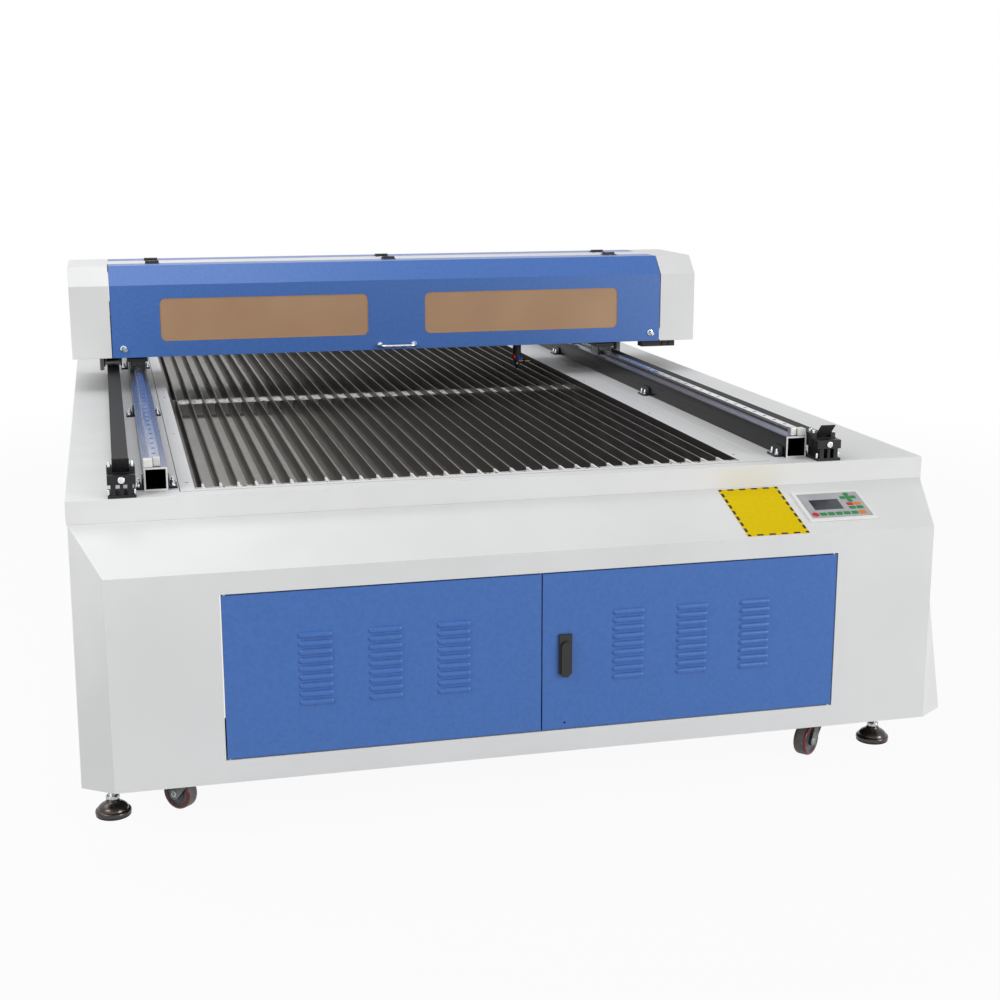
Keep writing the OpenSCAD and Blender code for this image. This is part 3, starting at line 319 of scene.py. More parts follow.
# a clip's section in mm about the slat's top edge, round its outside and back inside
clip_section = [(-2.6, -11), (-2.8, 0.2), (-1.9, 1.0), (1.9, 1.0), (2.8, 0.2), (2.6, -11),
                (1.35, -11), (1.35, 0.05), (-1.35, 0.05), (-1.35, -11)]
clip_near, clip_far = 1 * mm, 50 * mm
clips, flange = bmesh.new(), bmesh.new()
for x in slat_xs:
    for y0, y1 in (
        (slat_low.y + clip_near, slat_low.y + clip_far),
        (slat_high.y - clip_far, slat_high.y - clip_near),
    ):
        ends = []
        for y in (y0, y1):
            spots = [(x + px * mm, y, slat_high.z + pz * mm) for px, pz in clip_section]
            ends.append([clips.verts.new(spot) for spot in spots])
        for k in range(len(clip_section)):
            j = (k + 1) % len(clip_section)
            clips.faces.new((ends[0][k], ends[0][j], ends[1][j], ends[1][k]))
        for ring in ends:
            clips.faces.new(ring)
beam_y = (beam_low.y + beam_high.y) / 2 - 8.5 * mm
flange_reach, flange_root, slat_gap = 62 * mm, 1.6 * mm, 2 * mm
flange_low, flange_high = slat_high.z - 17.5 * mm, slat_high.z - 15.6 * mm
for x, next_x in zip(slat_xs, slat_xs[1:]):
    low = (x + slat_gap, beam_y - flange_reach, flange_low)
    high = (next_x - slat_gap, beam_y - flange_root, flange_high)
    tapered_box(flange, low, high, edge=0.4 * mm)
piece("slat_end_clips", clips, "machine", "white_powder_coat", white_coat)
piece("beam_flange", flange, "machine", "white_powder_coat", scorched)


# ---- Rail tubes and linear rails ----
# Two 50 mm aluminium tubes lie on the deck, black anodised, their top faces milled
# bare for the ground steel linear rails screwed down along them.
tube_low, tube_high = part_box("rail_tubes")
half_tube = (tube_high.z - tube_low.z) / 2
tube_xs = (tube_low.x + half_tube, tube_high.x - half_tube)
# anodised aluminium: black dye under a thin clear oxide, glossy; the milled tops are
# bright bare metal and the sawn ends pale
anodised_tube, tree, shader, place, tone = new_finish(
    "black_anodised_tube", ((0, "08080A"), (1, "0F0F11")), 6, (0.22, 0.28), 0.0, (1, 40, 1),
    Specular_IOR_Level=0.18)
facing = add(tree, "SeparateXYZ", {0: add(tree, "TexCoord").outputs["Normal"]}).outputs
height = add(tree, "SeparateXYZ", {0: place}).outputs["Z"]
milled_low = tube_high.z - 2.5 * mm
upper = add(tree, "MapRange", {0: height, 1: milled_low, 2: milled_low + 0.5 * mm}).outputs[0]
skyward = add(tree, "MapRange", {0: facing["Z"], 1: 0.5, 2: 0.8}).outputs[0]
milled = add(tree, "Math", {0: upper, 1: skyward}, operation="MULTIPLY").outputs[0]
endward = add(tree, "Math", {0: facing["Y"]}, operation="ABSOLUTE").outputs[0]
sawn = add(tree, "MapRange", {0: endward, 1: 0.35, 2: 0.5}).outputs[0]
tone = tinted(tree, shader, tone, milled, "9CA0AC")
tinted(tree, shader, tone, sawn, "E4E4E2")
metal = add(tree, "Math", {0: milled, 1: 0.9}, operation="MULTIPLY").outputs[0]
tree.links.new(metal, shader.inputs["Metallic"])
dress(anodised_tube, "rail_tubes", edge_mm=0.5)

# ground steel: hardened rail, silver, with a painted dark band along each side for the shade
# in its ball groove, and counterbored screw holes along its top
rail_low, rail_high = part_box("y_rails")
ground_steel, tree, shader, place, tone = new_finish(
    "ground_steel", ((0, "C4C7CD"), (1, "D6D8DD")), 8, (0.2, 0.26), 0.0, (1, 30, 1), Metallic=1.0)
height = add(tree, "SeparateXYZ", {0: place}).outputs["Z"]
groove_z = rail_low.z * 0.45 + rail_high.z * 0.55
# a dark band painted at the groove's height stands in for the shade in the ball groove
painted_groove_shade = add(tree, "Math", {0: height, 1: groove_z}, operation="SUBTRACT").outputs[0]
painted_groove_shade = add(tree, "Math", {0: painted_groove_shade}, operation="ABSOLUTE").outputs[0]
painted_groove_shade = add(tree, "MapRange", {0: painted_groove_shade, 1: 3.2 * mm, 2: 2.2 * mm}).outputs[0]
tinted(tree, shader, tone, painted_groove_shade, "6A6462")
dress(ground_steel, "y_rails", "x_rail")

# acetal buffers, moulded white and waxy, beside the bright steel clips over the rails' ends
acetal, tree, shader, place, tone = new_finish(
    "white_acetal_and_steel_clip", ((0, "E4E4DF"), (1, "F0F0EC")), 12, (0.34, 0.44))
across = add(tree, "SeparateXYZ", {0: place}).outputs["X"]
inward = add(tree, "Math", {0: across, 1: sum(tube_xs) / 2}, operation="SUBTRACT").outputs[0]
inward = add(tree, "Math", {0: inward}, operation="ABSOLUTE").outputs[0]
half_gauge = (tube_xs[1] - tube_xs[0]) / 2
acetal_from, clip_to = half_gauge + 4.6 * mm, half_gauge + 4.4 * mm
clip = add(tree, "MapRange", {0: inward, 1: acetal_from, 2: clip_to}).outputs[0]
tinted(tree, shader, tone, clip, "C6C5C2")
tree.links.new(clip, shader.inputs["Metallic"])
dress(acetal, "rail_stops", edge_mm=1.5)


# ---- Clamps, anchors and belts ----
# Black anodised angles hold the tubes down. At each belt end a stack of black
# blocks clamps the open timing belt, with chrome cap screws through the plates.

# fine-blasted and anodised plate: black, dull satin
plate_black = ((0, "161618"), (1, "1F1F22"))
black_plate = new_finish(
    "black_anodised_plate", plate_black, 4, (0.36, 0.46), 0.02, Specular_IOR_Level=0.35)[0]
dress(black_plate, "rail_clamps", "belt_anchors", edge_mm=0.8)
dress(black_plate, "carriage_plates", "side_bracket", edge_mm=1.0)

# timing belt: black polyurethane over steel cords, dull, the teeth below showing
# through its back as faint ribs 10 mm apart
timing_belt, tree, shader, place, tone = new_finish(
    "timing_belt_polyurethane", ((0, "272728"), (1, "313132")), 8, (0.66, 0.78), Specular_IOR_Level=0.25)
# a wave texture of scale 1 repeats every tau / 20 m
rib_scale = tau / 20 / (10 * mm)
wave = {"Vector": place, "Scale": rib_scale, "Distortion": 0.0}
ribs = add(tree, "TexWave", wave, bands_direction="Y")
bump = add(tree, "Bump", {"Height": ribs.outputs["Fac"], "Distance": 0.2 * mm, "Strength": 1.0})
tree.links.new(bump.outputs[0], shader.inputs["Normal"])
dress(timing_belt, "drive_belts", "belt_loops", edge_mm=0.5)


# ---- Chrome screws ----
# Two studs with washers and nuts stand on each tube clamp, and seven socket head
# screws hold each belt anchor. Turned and chrome plated.
def turned(bm, profile, place, steps=24, finish=0):
    """A turned solid from (radius, height) pairs, from the bottom of the axis to the top.

    A third value of 6 makes that ring a hexagon."""
    rings = []
    for radius, height, *sides in profile:
        if radius < 1e-6:
            rings.append([bm.verts.new(place @ Vector((0, 0, height)))])
            continue
        ring = []
        for k in range(steps):
            a = tau * k / steps
            r = radius
            if sides:
                step = tau / sides[0]
                r *= cos(step / 2) / cos((a % step) - step / 2)
            ring.append(bm.verts.new(place @ Vector((r * cos(a), r * sin(a), height))))
        rings.append(ring)
    for below, above in zip(rings, rings[1:]):
        for k in range(steps):
            j = (k + 1) % steps
            if len(below) == 1:
                corners = (below[0], above[j], above[k])
            elif len(above) == 1:
                corners = (below[k], below[j], above[0])
            else:
                corners = (below[k], below[j], above[j], above[k])
            bm.faces.new(corners).material_index = finish


def cap_screw(bm, place, radius, height, washer=0.0, stud=0.0):
    """A cap screw's head standing on place's XY plane, with a hexagon socket in its top.

    With a stud, it is a hexagon nut with that length of thread above it."""
    r, h, w = radius, height, washer
    foot = [(0, 0), (r * 1.3, 0), (r * 1.3, w), (r * 0.96, w)] if w else [(0, 0), (r * 0.96, 0)]
    head = [(r, w + h * 0.06), (r, h * 0.86), (r * 0.93, h * 0.97), (r * 0.82, h)]
    if stud:
        turned(bm, foot + [(r, w + h * 0.05, 6), (r, h * 0.9, 6), (r * 0.86, h), (0, h)], place)
        thread, pitch = [(0, h)], 0.001
        for k in range(int(stud / pitch)):
            thread += [(r * 0.5, h + pitch * k), (r * 0.56, h + pitch * k + pitch / 2)]
        turned(bm, thread + [(r * 0.42, h + stud), (0, h + stud)], place, 16)
    else:
        socket = [(r * 0.5, h, 6), (r * 0.46, h * 0.45, 6), (0, h * 0.4)]
        turned(bm, foot + head + [(r * 0.58, h)] + socket, place)


# chrome plate over polished steel: almost a mirror, a shade cool
chrome = new_finish("chrome_plate", ((0, "D2D5D9"), (1, "EEF0F2")), 6, (0.05, 0.12), Metallic=1.0)[0]
clamp_low, clamp_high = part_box("rail_clamps")
half_clamp, clamp_count = 24 * mm, 4
clamp_run = clamp_high.y - clamp_low.y - 2 * half_clamp
clamp_ys = [clamp_low.y + half_clamp + clamp_run * i / (clamp_count - 1) for i in range(clamp_count)]
# a clamp's studs: out from the tube, to each side of its middle, and up on its foot
stud_out, stud_along, clamp_foot = 11 * mm, 13.4 * mm, 5 * mm
deck_top = tube_low.z
belt_low, belt_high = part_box("drive_belts")
half_belt = 17.5 * mm
belt_xs = (belt_low.x + half_belt, belt_high.x - half_belt)
anchor_low, anchor_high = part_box("belt_anchors")
screws = bmesh.new()
for x in tube_xs:
    for side in (-1, 1):
        for y in clamp_ys:
            for m in (-1, 1):
                spot = (x + side * (half_tube + stud_out), y + m * stud_along, deck_top + clamp_foot)
                cap_screw(screws, Matrix.Translation(spot), 5.5 * mm, 6 * mm, 1 * mm, 7 * mm)
# an anchor's screws: four through its plate, two in its foot and one along the machine
for x in belt_xs:
    for end, inward in ((anchor_low.y, 1), (anchor_high.y, -1)):
        for side in (-1, 1):
            for depth in (38 * mm, 57 * mm):
                spot = (x + side * 22.5 * mm, end + inward * depth, belt_low.z + 9 * mm)
                cap_screw(screws, Matrix.Translation(spot), 4.2 * mm, 8 * mm)
            spot = (x + side * 25.9 * mm, end + inward * 9 * mm, deck_top + 6 * mm)
            cap_screw(screws, Matrix.Translation(spot), 3.1 * mm, 11 * mm)
        spot = Matrix.Translation((x, end, belt_low.z - 12 * mm))
        cap_screw(screws, spot @ Matrix.Rotation(radians(90 * inward), 4, "X"), 7 * mm, 3.5 * mm)
piece("chrome_cap_screws", screws, "machine", "chrome_plate", chrome, instead_of=["chrome_bolts"])


# ---- Levelling feet ----
# A stepped, domed steel pad on a rubber sole stands on the floor at each corner, and
# its threaded stud is locked by a hexagon nut above the pad and one under the frame.

# oil-blackened steel: brown-black, smooth and bright
gunmetal = new_finish(
    "blackened_steel", ((0, "47423F"), (1, "554F4B")), 12, (0.2, 0.26), Metallic=0.85)[0]
# passivated zinc: pale grey, a little cloudy
zinc = new_finish("bright_zinc_plate", ((0, "A5A7A9"), (1, "C8CACC")), 5, (0.22, 0.38), Metallic=1.0)[0]
# vulcanised rubber: dull black, a little grey with dust
rubber = new_finish(
    "vulcanised_rubber", ((0, "161616"), (1, "242424")), 3, (0.7, 0.8), 0.05, tone_mm=15)[0]

foot_low, foot_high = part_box("leveling_feet")
pad_r = 39 * mm
# the rubber sole and the steel dome over it, in mm from the floor up
sole = [(0, 0), (37, 0), (38, 1.2), (38, 3.6), (37, 4.2), (0, 4.2)]
dome = [(0, 4), (37.8, 4), (38.9, 5.5), (38.9, 10), (38.2, 12.4), (36.4, 14), (33.8, 14.4),
        (33.4, 15), (33, 17.4), (31.4, 20.4), (27.6, 24), (22.4, 27.4), (17.6, 29.6),
        (15.8, 31), (15, 34), (13.4, 36.2), (10.4, 37), (0, 37)]
thread_low, thread_high, thread_pitch = 36 * mm, foot_high.z - 16 * mm, 2.5 * mm
crest_r, root_r, stud_top = 9.9 * mm, 8.8 * mm, foot_high.z - 1 * mm
nut_r, nut_face_r, chamfer = 15 * mm, 13 * mm, 1.2 * mm
pads, rims, studs = bmesh.new(), bmesh.new(), bmesh.new()
for x in (foot_low.x + pad_r, foot_high.x - pad_r):
    for y in (foot_low.y + pad_r, foot_high.y - pad_r):
        place = Matrix.Translation((x, y, 0))
        turned(rims, [(r * mm, z * mm) for r, z in sole], place, 48)
        turned(pads, [(r * mm, z * mm) for r, z in dome], place, 48)
        thread, z = [(0, thread_low)], thread_low
        while z < thread_high:
            thread += [(root_r, z), (crest_r, z + thread_pitch / 2)]
            z += thread_pitch
        turned(studs, thread + [(root_r, z), (root_r, stud_top), (0, stud_top)], place, 24)
        for low, high in ((37 * mm, 45 * mm), (foot_high.z - 14 * mm, foot_high.z)):
            sides = [(nut_r, low + chamfer, 6), (nut_r, high - chamfer, 6)]
            turned(studs, [(0, low), (nut_face_r, low), *sides, (nut_face_r, high), (0, high)], place)
piece("foot_rims", rims, "machine", "ground_steel", rubber)
piece("foot_pads", pads, "machine", "ground_steel", gunmetal, instead_of=["leveling_feet"])
piece("foot_studs", studs, "machine", "ground_steel", zinc)


# ---- Control panel ----
# A moulded frame on the sloping console holds a grey overlay with a liquid crystal
# screen and printed key domes. The yellow notice beside it carries a dashed border only.

# moulded ABS: ivory, half-matt, a fine spark-eroded grain
ivory_abs = new_finish(
    "ivory_abs", ((0, "EEEDE9"), (1, "F3F2EF")), 1.5, (0.4, 0.5), 0.02, tone_mm=30)[0]
dress(ivory_abs, "panel_bezel", edge_mm=1.2)
# polyester overlay: silver-grey, satin
overlay = new_finish(
    "grey_polyester_overlay", ((0, "A7A9AC"), (1, "B3B5B8")), 2, (0.34, 0.46), tone_mm=25)[0]
dress(overlay, "panel_face", edge_mm=0.4)
# switched-off liquid crystal screen: dark, slightly blue glass, with a painted reflection that makes it
# paler towards the right
screen_low, screen_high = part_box("panel_screen")
screen, tree, shader, place, tone = new_finish(
    "liquid_crystal_glass", ((0, "30323A"), (1, "383A42")), 6, (0.16, 0.22), Specular_IOR_Level=0.22)
across = add(tree, "SeparateXYZ", {0: place}).outputs["X"]
# a painted reflection: the glass grows paler towards the right
painted_reflection = add(tree, "MapRange", {0: across, 1: screen_low.x, 2: screen_high.x}).outputs[0]
tinted(tree, shader, tone, painted_reflection, "45474F")
dress(screen, "panel_screen")


def printed(name, deep, full):
    """Printed ink or dyed plastic in one even colour, under a satin surface."""
    return new_finish(name, ((0, deep), (1, full)), 3, (0.3, 0.42), Specular_IOR_Level=0.25)[0]


# screen-printed inks under the overlay's satin film, strong and even
green_ink = printed("green_key_ink", "0E7E3A", "148C44")
red_ink = printed("red_key_ink", "BE1A26", "D2242F")
orange_ink = printed("orange_key_ink", "E27516", "F08220")
white_ink = printed("white_key_ink", "DCE4DE", "ECF2EE")
black_ink = printed("black_border_ink", "0C0C12", "14141C")
key_inks = (green_ink, red_ink, orange_ink, white_ink)
GREEN, RED, ORANGE, WHITE = range(4)

# the slope's own axes: x across, then down the slope, then out of its face, in mm
slope_fall, slope_reach = 68, 194
slope = atan2(slope_fall, slope_reach)
deck_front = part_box("deck_plate")[0]
bezel_low, bezel_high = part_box("panel_bezel")
panel_x, panel_down = (bezel_low.x + bezel_high.x) / 2 / mm, 100
overlay_out, key_top_out = 5, 5.79
notice_low, notice_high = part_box("notice_plate")
notice_x, notice_down, notice_out = (notice_low.x + notice_high.x) / 2 / mm, 102.785, 0.83


def on_slope(x, down, out=0.0):
    """A point on the sloping face, down mm below the deck's flange, out mm proud of the sheet."""
    base = Matrix.Translation((x * mm, deck_front.y, deck_front.z + 0.02 * mm))
    turn = Matrix.Rotation(slope, 4, "X")
    return base @ turn @ Vector((0, -down * mm, out * mm))


def key(bm, x, y, wide, tall, finish, round_mm=2.2):
    """A raised key with rounded corners and a pillowed top, x and y mm from the panel's middle."""
    rings = []
    for inset, out in ((0, 0), (0, 0.45), (0.35, 0.7), (1.4, 0.8)):
        ring = []
        r = max(round_mm - inset, 0.3)
        for cx, cy, start in ((1, 1, 0), (-1, 1, 90), (-1, -1, 180), (1, -1, 270)):
            for step in range(5):
                a = radians(start + 22.5 * step)
                across = panel_x + x + cx * (wide / 2 - round_mm) + r * cos(a)
                down = panel_down - y - cy * (tall / 2 - round_mm) - r * sin(a)
                ring.append(bm.verts.new(on_slope(across, down, overlay_out + out)))
        rings.append(ring)
    for low, high in zip(rings, rings[1:]):
        for k in range(len(low)):
            j = (k + 1) % len(low)
            bm.faces.new((low[k], low[j], high[j], high[k])).material_index = finish
    for ring in (rings[0], rings[-1]):
        bm.faces.new(ring).material_index = finish


def mark(bm, x, y, points):
    """A flat white mark of mm points on top of a key."""
    spots = [on_slope(panel_x + x + px, panel_down - y - py, key_top_out) for px, py in points]
    bm.faces.new([bm.verts.new(spot) for spot in spots]).material_index = WHITE


arrow = [(-1.8, -1.2), (1.8, -1.2), (0, 1.8)]
bar = [(-3, -0.5), (3, -0.5), (3, 0.5), (-3, 0.5)]
square = [(-1.2, -1.2), (1.2, -1.2), (1.2, 1.2), (-1.2, 1.2)]
disc = [(3 * cos(tau * k / 12), 3 * sin(tau * k / 12)) for k in range(12)]
keys = bmesh.new()
# a cross of five green keys, with arrows on the outer four
cross_x, cross_y = 43, 26
for turn, (i, j) in enumerate(((0, 1), (-1, 0), (0, -1), (1, 0))):
    x, y = cross_x + i * 13, cross_y + j * 12.9
    key(keys, x, y, 12, 11.4, GREEN)
    c, n = cos(turn * pi / 2), sin(turn * pi / 2)
    mark(keys, x, y, [(px * c - py * n, px * n + py * c) for px, py in arrow])
key(keys, cross_x, cross_y, 12, 11.4, GREEN)
# two rows of two under it
for i, j, ink in ((0, 0, RED), (1, 0, ORANGE), (0, 1, GREEN), (1, 1, GREEN)):
    x, y = 36.5 + i * 18.4, -1 - j * 15
    key(keys, x, y, 15.5, 11.4, ink)
    mark(keys, x, y, bar)
# the bottom row: five green keys between a round red one and an orange one
row_x, row_y, row_pitch = -61.7, -37, 18.9
last_x = row_x + 6 * row_pitch
for i in range(1, 6):
    key(keys, row_x + i * row_pitch, row_y, 15.5, 12, GREEN)
    mark(keys, row_x + i * row_pitch, row_y, square)
key(keys, last_x, row_y, 16.5, 13.5, ORANGE)
mark(keys, last_x, row_y, bar)
key(keys, row_x, row_y, 16.5, 16.5, RED, 8.2)
mark(keys, row_x, row_y, disc)
piece("panel_key_domes", keys, "machine", "key_membrane", *key_inks, instead_of=["panel_keys"])

# calendered vinyl: matt, strong yellow; its border of black dashes is laid along the edge
yellow_vinyl = new_finish(
    "yellow_vinyl", ((0, "E6C600"), (1, "EDCE00")), 6, (0.7, 0.8), Specular_IOR_Level=0.12)[0]
dress(yellow_vinyl, "notice_plate", edge_mm=0.2)
border = bmesh.new()
wide, long, dash, line, margin = 144, 194, 15, 6.2, 0.6
for count, run, cross, upright in ((5, wide, long, False), (8, long, wide, True)):
    half = run / 2 - margin
    for k in range(count + 1):
        middle = -half + 2 * half / count * k
        start, stop = max(middle - dash / 2, -half), min(middle + dash / 2, half)
        for side in (-cross / 2 + margin, cross / 2 - margin - line):
            x0, d0, x1, d1 = start, side, stop, side + line
            if upright:
                x0, d0, x1, d1 = side, start, side + line, stop
            corners = [on_slope(notice_x + x, notice_down + d, notice_out)
                       for x, d in ((x0, d0), (x1, d0), (x1, d1), (x0, d1))]
            border.faces.new([border.verts.new(corner) for corner in corners])
piece("notice_border", border, "machine", "notice_yellow", black_ink)


# ---- Doors and latch ----
# Two folded steel doors with pressed louvres on pivot pins, and a black moulded
# swing latch on the right one. The gantry's covers are coated from the same batch.

# baked powder coat: blue, half-gloss, with a fine pebbled skin
blue_coat, tree, shader, place, tone = new_finish(
    "blue_powder_coat", ((0, "3F6EB6"), (1, "4573BE")), 6, (0.3, 0.4), 0.06, tone_mm=9)
dress(blue_coat, "door_left", "door_right", edge_mm=0.8)
# glass-filled nylon: black, dull, faintly mottled
black_nylon = new_finish("moulded_black_nylon", ((0, "131416"), (1, "1C1D1F")), 2, (0.36, 0.48), 0.03)[0]
dress(black_nylon, "latch_body", "latch_handle", "cover_hinges", edge_mm=0.8)
# the covers' hinge leaves stand above the strip between them and are black steel, riveted on
leaf_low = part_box("top_strip")[1].z + 0.15 * mm
height = add(tree, "SeparateXYZ", {0: place}).outputs["Z"]
leaf = add(tree, "MapRange", {0: height, 1: leaf_low, 2: leaf_low + 0.1 * mm}).outputs[0]
tinted(tree, shader, tone, leaf, "1A1B1D")
dress(blue_coat, "front_cover", "rear_cover", edge_mm=1.0)


# ---- Gantry ----
# A black box beam on bearing blocks, closed at both ends by white sheet caps. It
# carries the cross rail, the motors, the laser tube on its shelf and the mirrors.
dress(black_plate, "gantry_beam", edge_mm=1.0)
dress(white_coat, "end_frames")
dress(white_coat, "end_caps", "top_strip", edge_mm=1.2)

# the bearing blocks: ground steel between black nylon end wipers 5.5 mm thick
block_low, block_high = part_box("rail_carriages")
block_steel, tree, shader, place, tone = new_finish(
    "oiled_bearing_steel", ((0, "8E9094"), (1, "A6A8AC")), 8, (0.24, 0.34), Metallic=0.9)
along = add(tree, "SeparateXYZ", {0: place}).outputs["Y"]
middle = (block_low.y + block_high.y) / 2
along = add(tree, "Math", {0: along, 1: middle}, operation="SUBTRACT").outputs[0]
along = add(tree, "Math", {0: along}, operation="ABSOLUTE").outputs[0]
block_length, steel_half = 77 * mm, 33 * mm
half_spacing = (block_high.y - block_low.y - block_length) / 2
along = add(tree, "Math", {0: along, 1: half_spacing}, operation="SUBTRACT").outputs[0]
along = add(tree, "Math", {0: along}, operation="ABSOLUTE").outputs[0]
wiper = add(tree, "MapRange", {0: along, 1: steel_half, 2: steel_half + 0.4 * mm}).outputs[0]
tinted(tree, shader, tone, wiper, "151618")
metal = add(tree, "MapRange", {0: wiper, 3: 0.9, 4: 0.0}).outputs[0]
tree.links.new(metal, shader.inputs["Metallic"])
dress(block_steel, "rail_carriages", edge_mm=1.0)

# the idlers' cheeks are black; the lip of each outer one is bare plated steel
lipped, tree, shader, place, tone = new_finish(
    "black_cheek_with_bare_lip", plate_black, 4, (0.36, 0.46), Specular_IOR_Level=0.35)
across = add(tree, "SeparateXYZ", {0: place}).outputs["X"]
across = add(tree, "Math", {0: across, 1: sum(belt_xs) / 2}, operation="SUBTRACT").outputs[0]
across = add(tree, "Math", {0: across}, operation="ABSOLUTE").outputs[0]
outer = (belt_xs[1] - belt_xs[0]) / 2 + 26.7 * mm
lip = add(tree, "MapRange", {0: across, 1: outer, 2: outer + 0.2 * mm}).outputs[0]
tinted(tree, shader, tone, lip, "A9A9A8")
dress(lipped, "idler_brackets", edge_mm=0.6)

# extruded aluminium, left bare: pale, drawn lines along the machine's width
bare_aluminium = new_finish(
    "mill_finish_aluminium", ((0, "B6B9BC"), (1, "D0D2D4")), 2.5, (0.3, 0.45), 0.02, (30, 1, 1),
    Metallic=0.9)[0]
dress(bare_aluminium, "optics_mounts", edge_mm=0.8)

# stepping motors: black lacquered laminations between cast end bells, standing on edge
motor_black = new_finish(
    "lacquered_motor_laminations", ((0, "1A1A1C"), (1, "303033")), 0.9, (0.35, 0.55), 0.08,
    (1, 30, 30), Metallic=0.3)[0]
dress(motor_black, "drive_motors", edge_mm=1.0)


# ---- Laser tube ----
# A sealed glass tube 1.5 m long: a water jacket round a narrow bore, with metal
# electrodes and a gold-coated mirror at each end. It lies on the rear shelf.

# borosilicate glass: clear, faintly green, fire-polished
glass = new_finish(
    "borosilicate_glass", ((0, "DDEBEA"), (1, "EAF4F3")), 60, (0.02, 0.06),
    Transmission_Weight=0.85, IOR=1.47)[0]
dress(glass, "laser_tube")
# nickel sleeve electrodes: bright, warm grey
nickel = new_finish(
    "drawn_nickel_sleeve", ((0, "B9B2A6"), (1, "CFC9BF")), 3, (0.2, 0.34), 0.01, (20, 1, 1),
    Metallic=1.0)[0]
# gold-coated mirror mounts: yellow, nearly mirror bright
gold = new_finish(
    "gold_mirror_coating", ((0, "D9A441"), (1, "E8BC63")), 5, (0.12, 0.2), Metallic=1.0)[0]
GLASS, NICKEL, GOLD = range(3)
jacket_low, jacket_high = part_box("laser_tube")
middle = (jacket_low + jacket_high) / 2
half = (jacket_high.x - jacket_low.x) / 2
along_x = Matrix.Rotation(radians(90), 4, "Y")
# profiles in mm about each part's own middle
bore = [(0, -600), (9, -600), (9, 600), (7, 600), (7, 580), (0, 580)]
sleeve = [(20, -50), (22, -50), (22, 50), (20, 50), (20, -50)]
mirror = [(0, -7), (17, -7), (19, -5), (19, 5), (14, 7), (0, 7)]
sleeve_in, mirror_in = 110 * mm, 12 * mm
tube_parts = bmesh.new()
place = Matrix.Translation(middle) @ along_x
turned(tube_parts, [(r * mm, h * mm) for r, h in bore], place, 24, GLASS)
for side in (-1, 1):
    for profile, inset, finish in ((sleeve, sleeve_in, NICKEL), (mirror, mirror_in, GOLD)):
        place = Matrix.Translation(middle + Vector((side * (half - inset), 0, 0))) @ along_x
        turned(tube_parts, [(r * mm, h * mm) for r, h in profile], place, 32, finish)
piece("tube_electrodes", tube_parts, "gantry", "ground_steel", glass, nickel, gold)


# ---- Covers ----
# Two folded blue covers hinge on the strip between them. The front one has a pair
# of windows of acrylic sheet, still under its brown paper film.

# kraft masking paper on acrylic: matt brown, fine fibres
kraft = new_finish(
    "masking_paper_on_acrylic", ((0, "B08B6A"), (1, "BC9875")), 1.6, (0.55, 0.65), 0.02, (2, 1, 1),
    tone_mm=300)[0]
dress(kraft, "front_windows")
# the acrylic's cut edge: a smooth orange-brown line round each opening
amber = new_finish("amber_acrylic_edge", ((0, "C08A4A"), (1, "CC9654")), 10, (0.25, 0.35))[0]
film_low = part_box("front_windows")[0]
window_w, window_h, corner, rim = 620 * mm, 125 * mm, 18 * mm, 2.2 * mm
window_in, window_up = 88 * mm, 12 * mm
fit, back, face = 0.1 * mm, 0.02 * mm, 0.8 * mm
edges = bmesh.new()
for side in (-1, 1):
    mid_x = side * (window_in + window_w / 2)
    mid_z = film_low.z + window_up + window_h / 2
    rings = []
    for inset, out in ((fit, back), (fit, face), (rim, face), (rim, back)):
        ring, r = [], corner - inset
        for cx, cz, start in ((1, 1, 0), (-1, 1, 90), (-1, -1, 180), (1, -1, 270)):
            for step in range(9):
                a = radians(start + 11.25 * step)
                x = mid_x + cx * (window_w / 2 - corner) + r * cos(a)
                z = mid_z + cz * (window_h / 2 - corner) + r * sin(a)
                ring.append(edges.verts.new((x, film_low.y - out, z)))
        rings.append(ring)
    for low, high in zip(rings, rings[1:] + rings[:1]):
        for k in range(len(low)):
            j = (k + 1) % len(low)
            edges.faces.new((low[k], low[j], high[j], high[k]))
piece("window_edges", edges, "front_cover", "film_acrylic", amber)


def bent_tube(bm, points, radius, steps=16, finish=0):
    """A round bar along points that lie in one plane, closed at both ends."""
    across = None
    for a, b, c in zip(points, points[1:], points[2:]):
        if (b - a).cross(c - b).length > 1e-9:
            across = (b - a).cross(c - b).normalized()
            break
    rings = []
    for i, p in enumerate(points):
        along = (points[min(i + 1, len(points) - 1)] - points[max(i - 1, 0)]).normalized()
        out = along.cross(across)
        angles = [tau * k / steps for k in range(steps)]
        rings.append([bm.verts.new(p + radius * (cos(a) * out + sin(a) * across)) for a in angles])
    for low, high in zip(rings, rings[1:]):
        for k in range(steps):
            j = (k + 1) % steps
            bm.faces.new((low[k], low[j], high[j], high[k])).material_index = finish
    for ring in (rings[0], rings[-1]):
        bm.faces.new(ring).material_index = finish


# chrome bow handle: one 9 mm bar with bent ends in two rosettes
handle_low, handle_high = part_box("cover_handle")
cover_y = handle_high.y
bar_r, bend, half_span = 4.5 * mm, 14 * mm, 53 * mm
bar_y, z = handle_low.y + bar_r, (handle_low.z + handle_high.z) / 2
path = [Vector((-half_span, cover_y, z)), Vector((-half_span, bar_y + bend, z))]
for a in [pi / 2 * k / 8 for k in range(1, 9)]:
    path.append(Vector((-half_span + bend - bend * cos(a), bar_y + bend - bend * sin(a), z)))
path += [Vector((-p.x, p.y, p.z)) for p in reversed(path)]
rosette = [(0, 0), (8 * mm, 0), (8 * mm, 0.8 * mm), (6.5 * mm, 2 * mm), (0, 2 * mm)]
handle = bmesh.new()
bent_tube(handle, path, bar_r)
for x in (-half_span, half_span):
    place = Matrix.Translation((x, cover_y, z)) @ Matrix.Rotation(radians(90), 4, "X")
    turned(handle, rosette, place)
piece("bow_handle", handle, "front_cover", "chrome_plate", chrome, instead_of=["cover_handle"])

# cam locks: a chrome barrel and collar with a blue anodised plug and a folding key in it
blue_plug = printed("blue_anodised_plug", "2A98B6", "32A9C8")
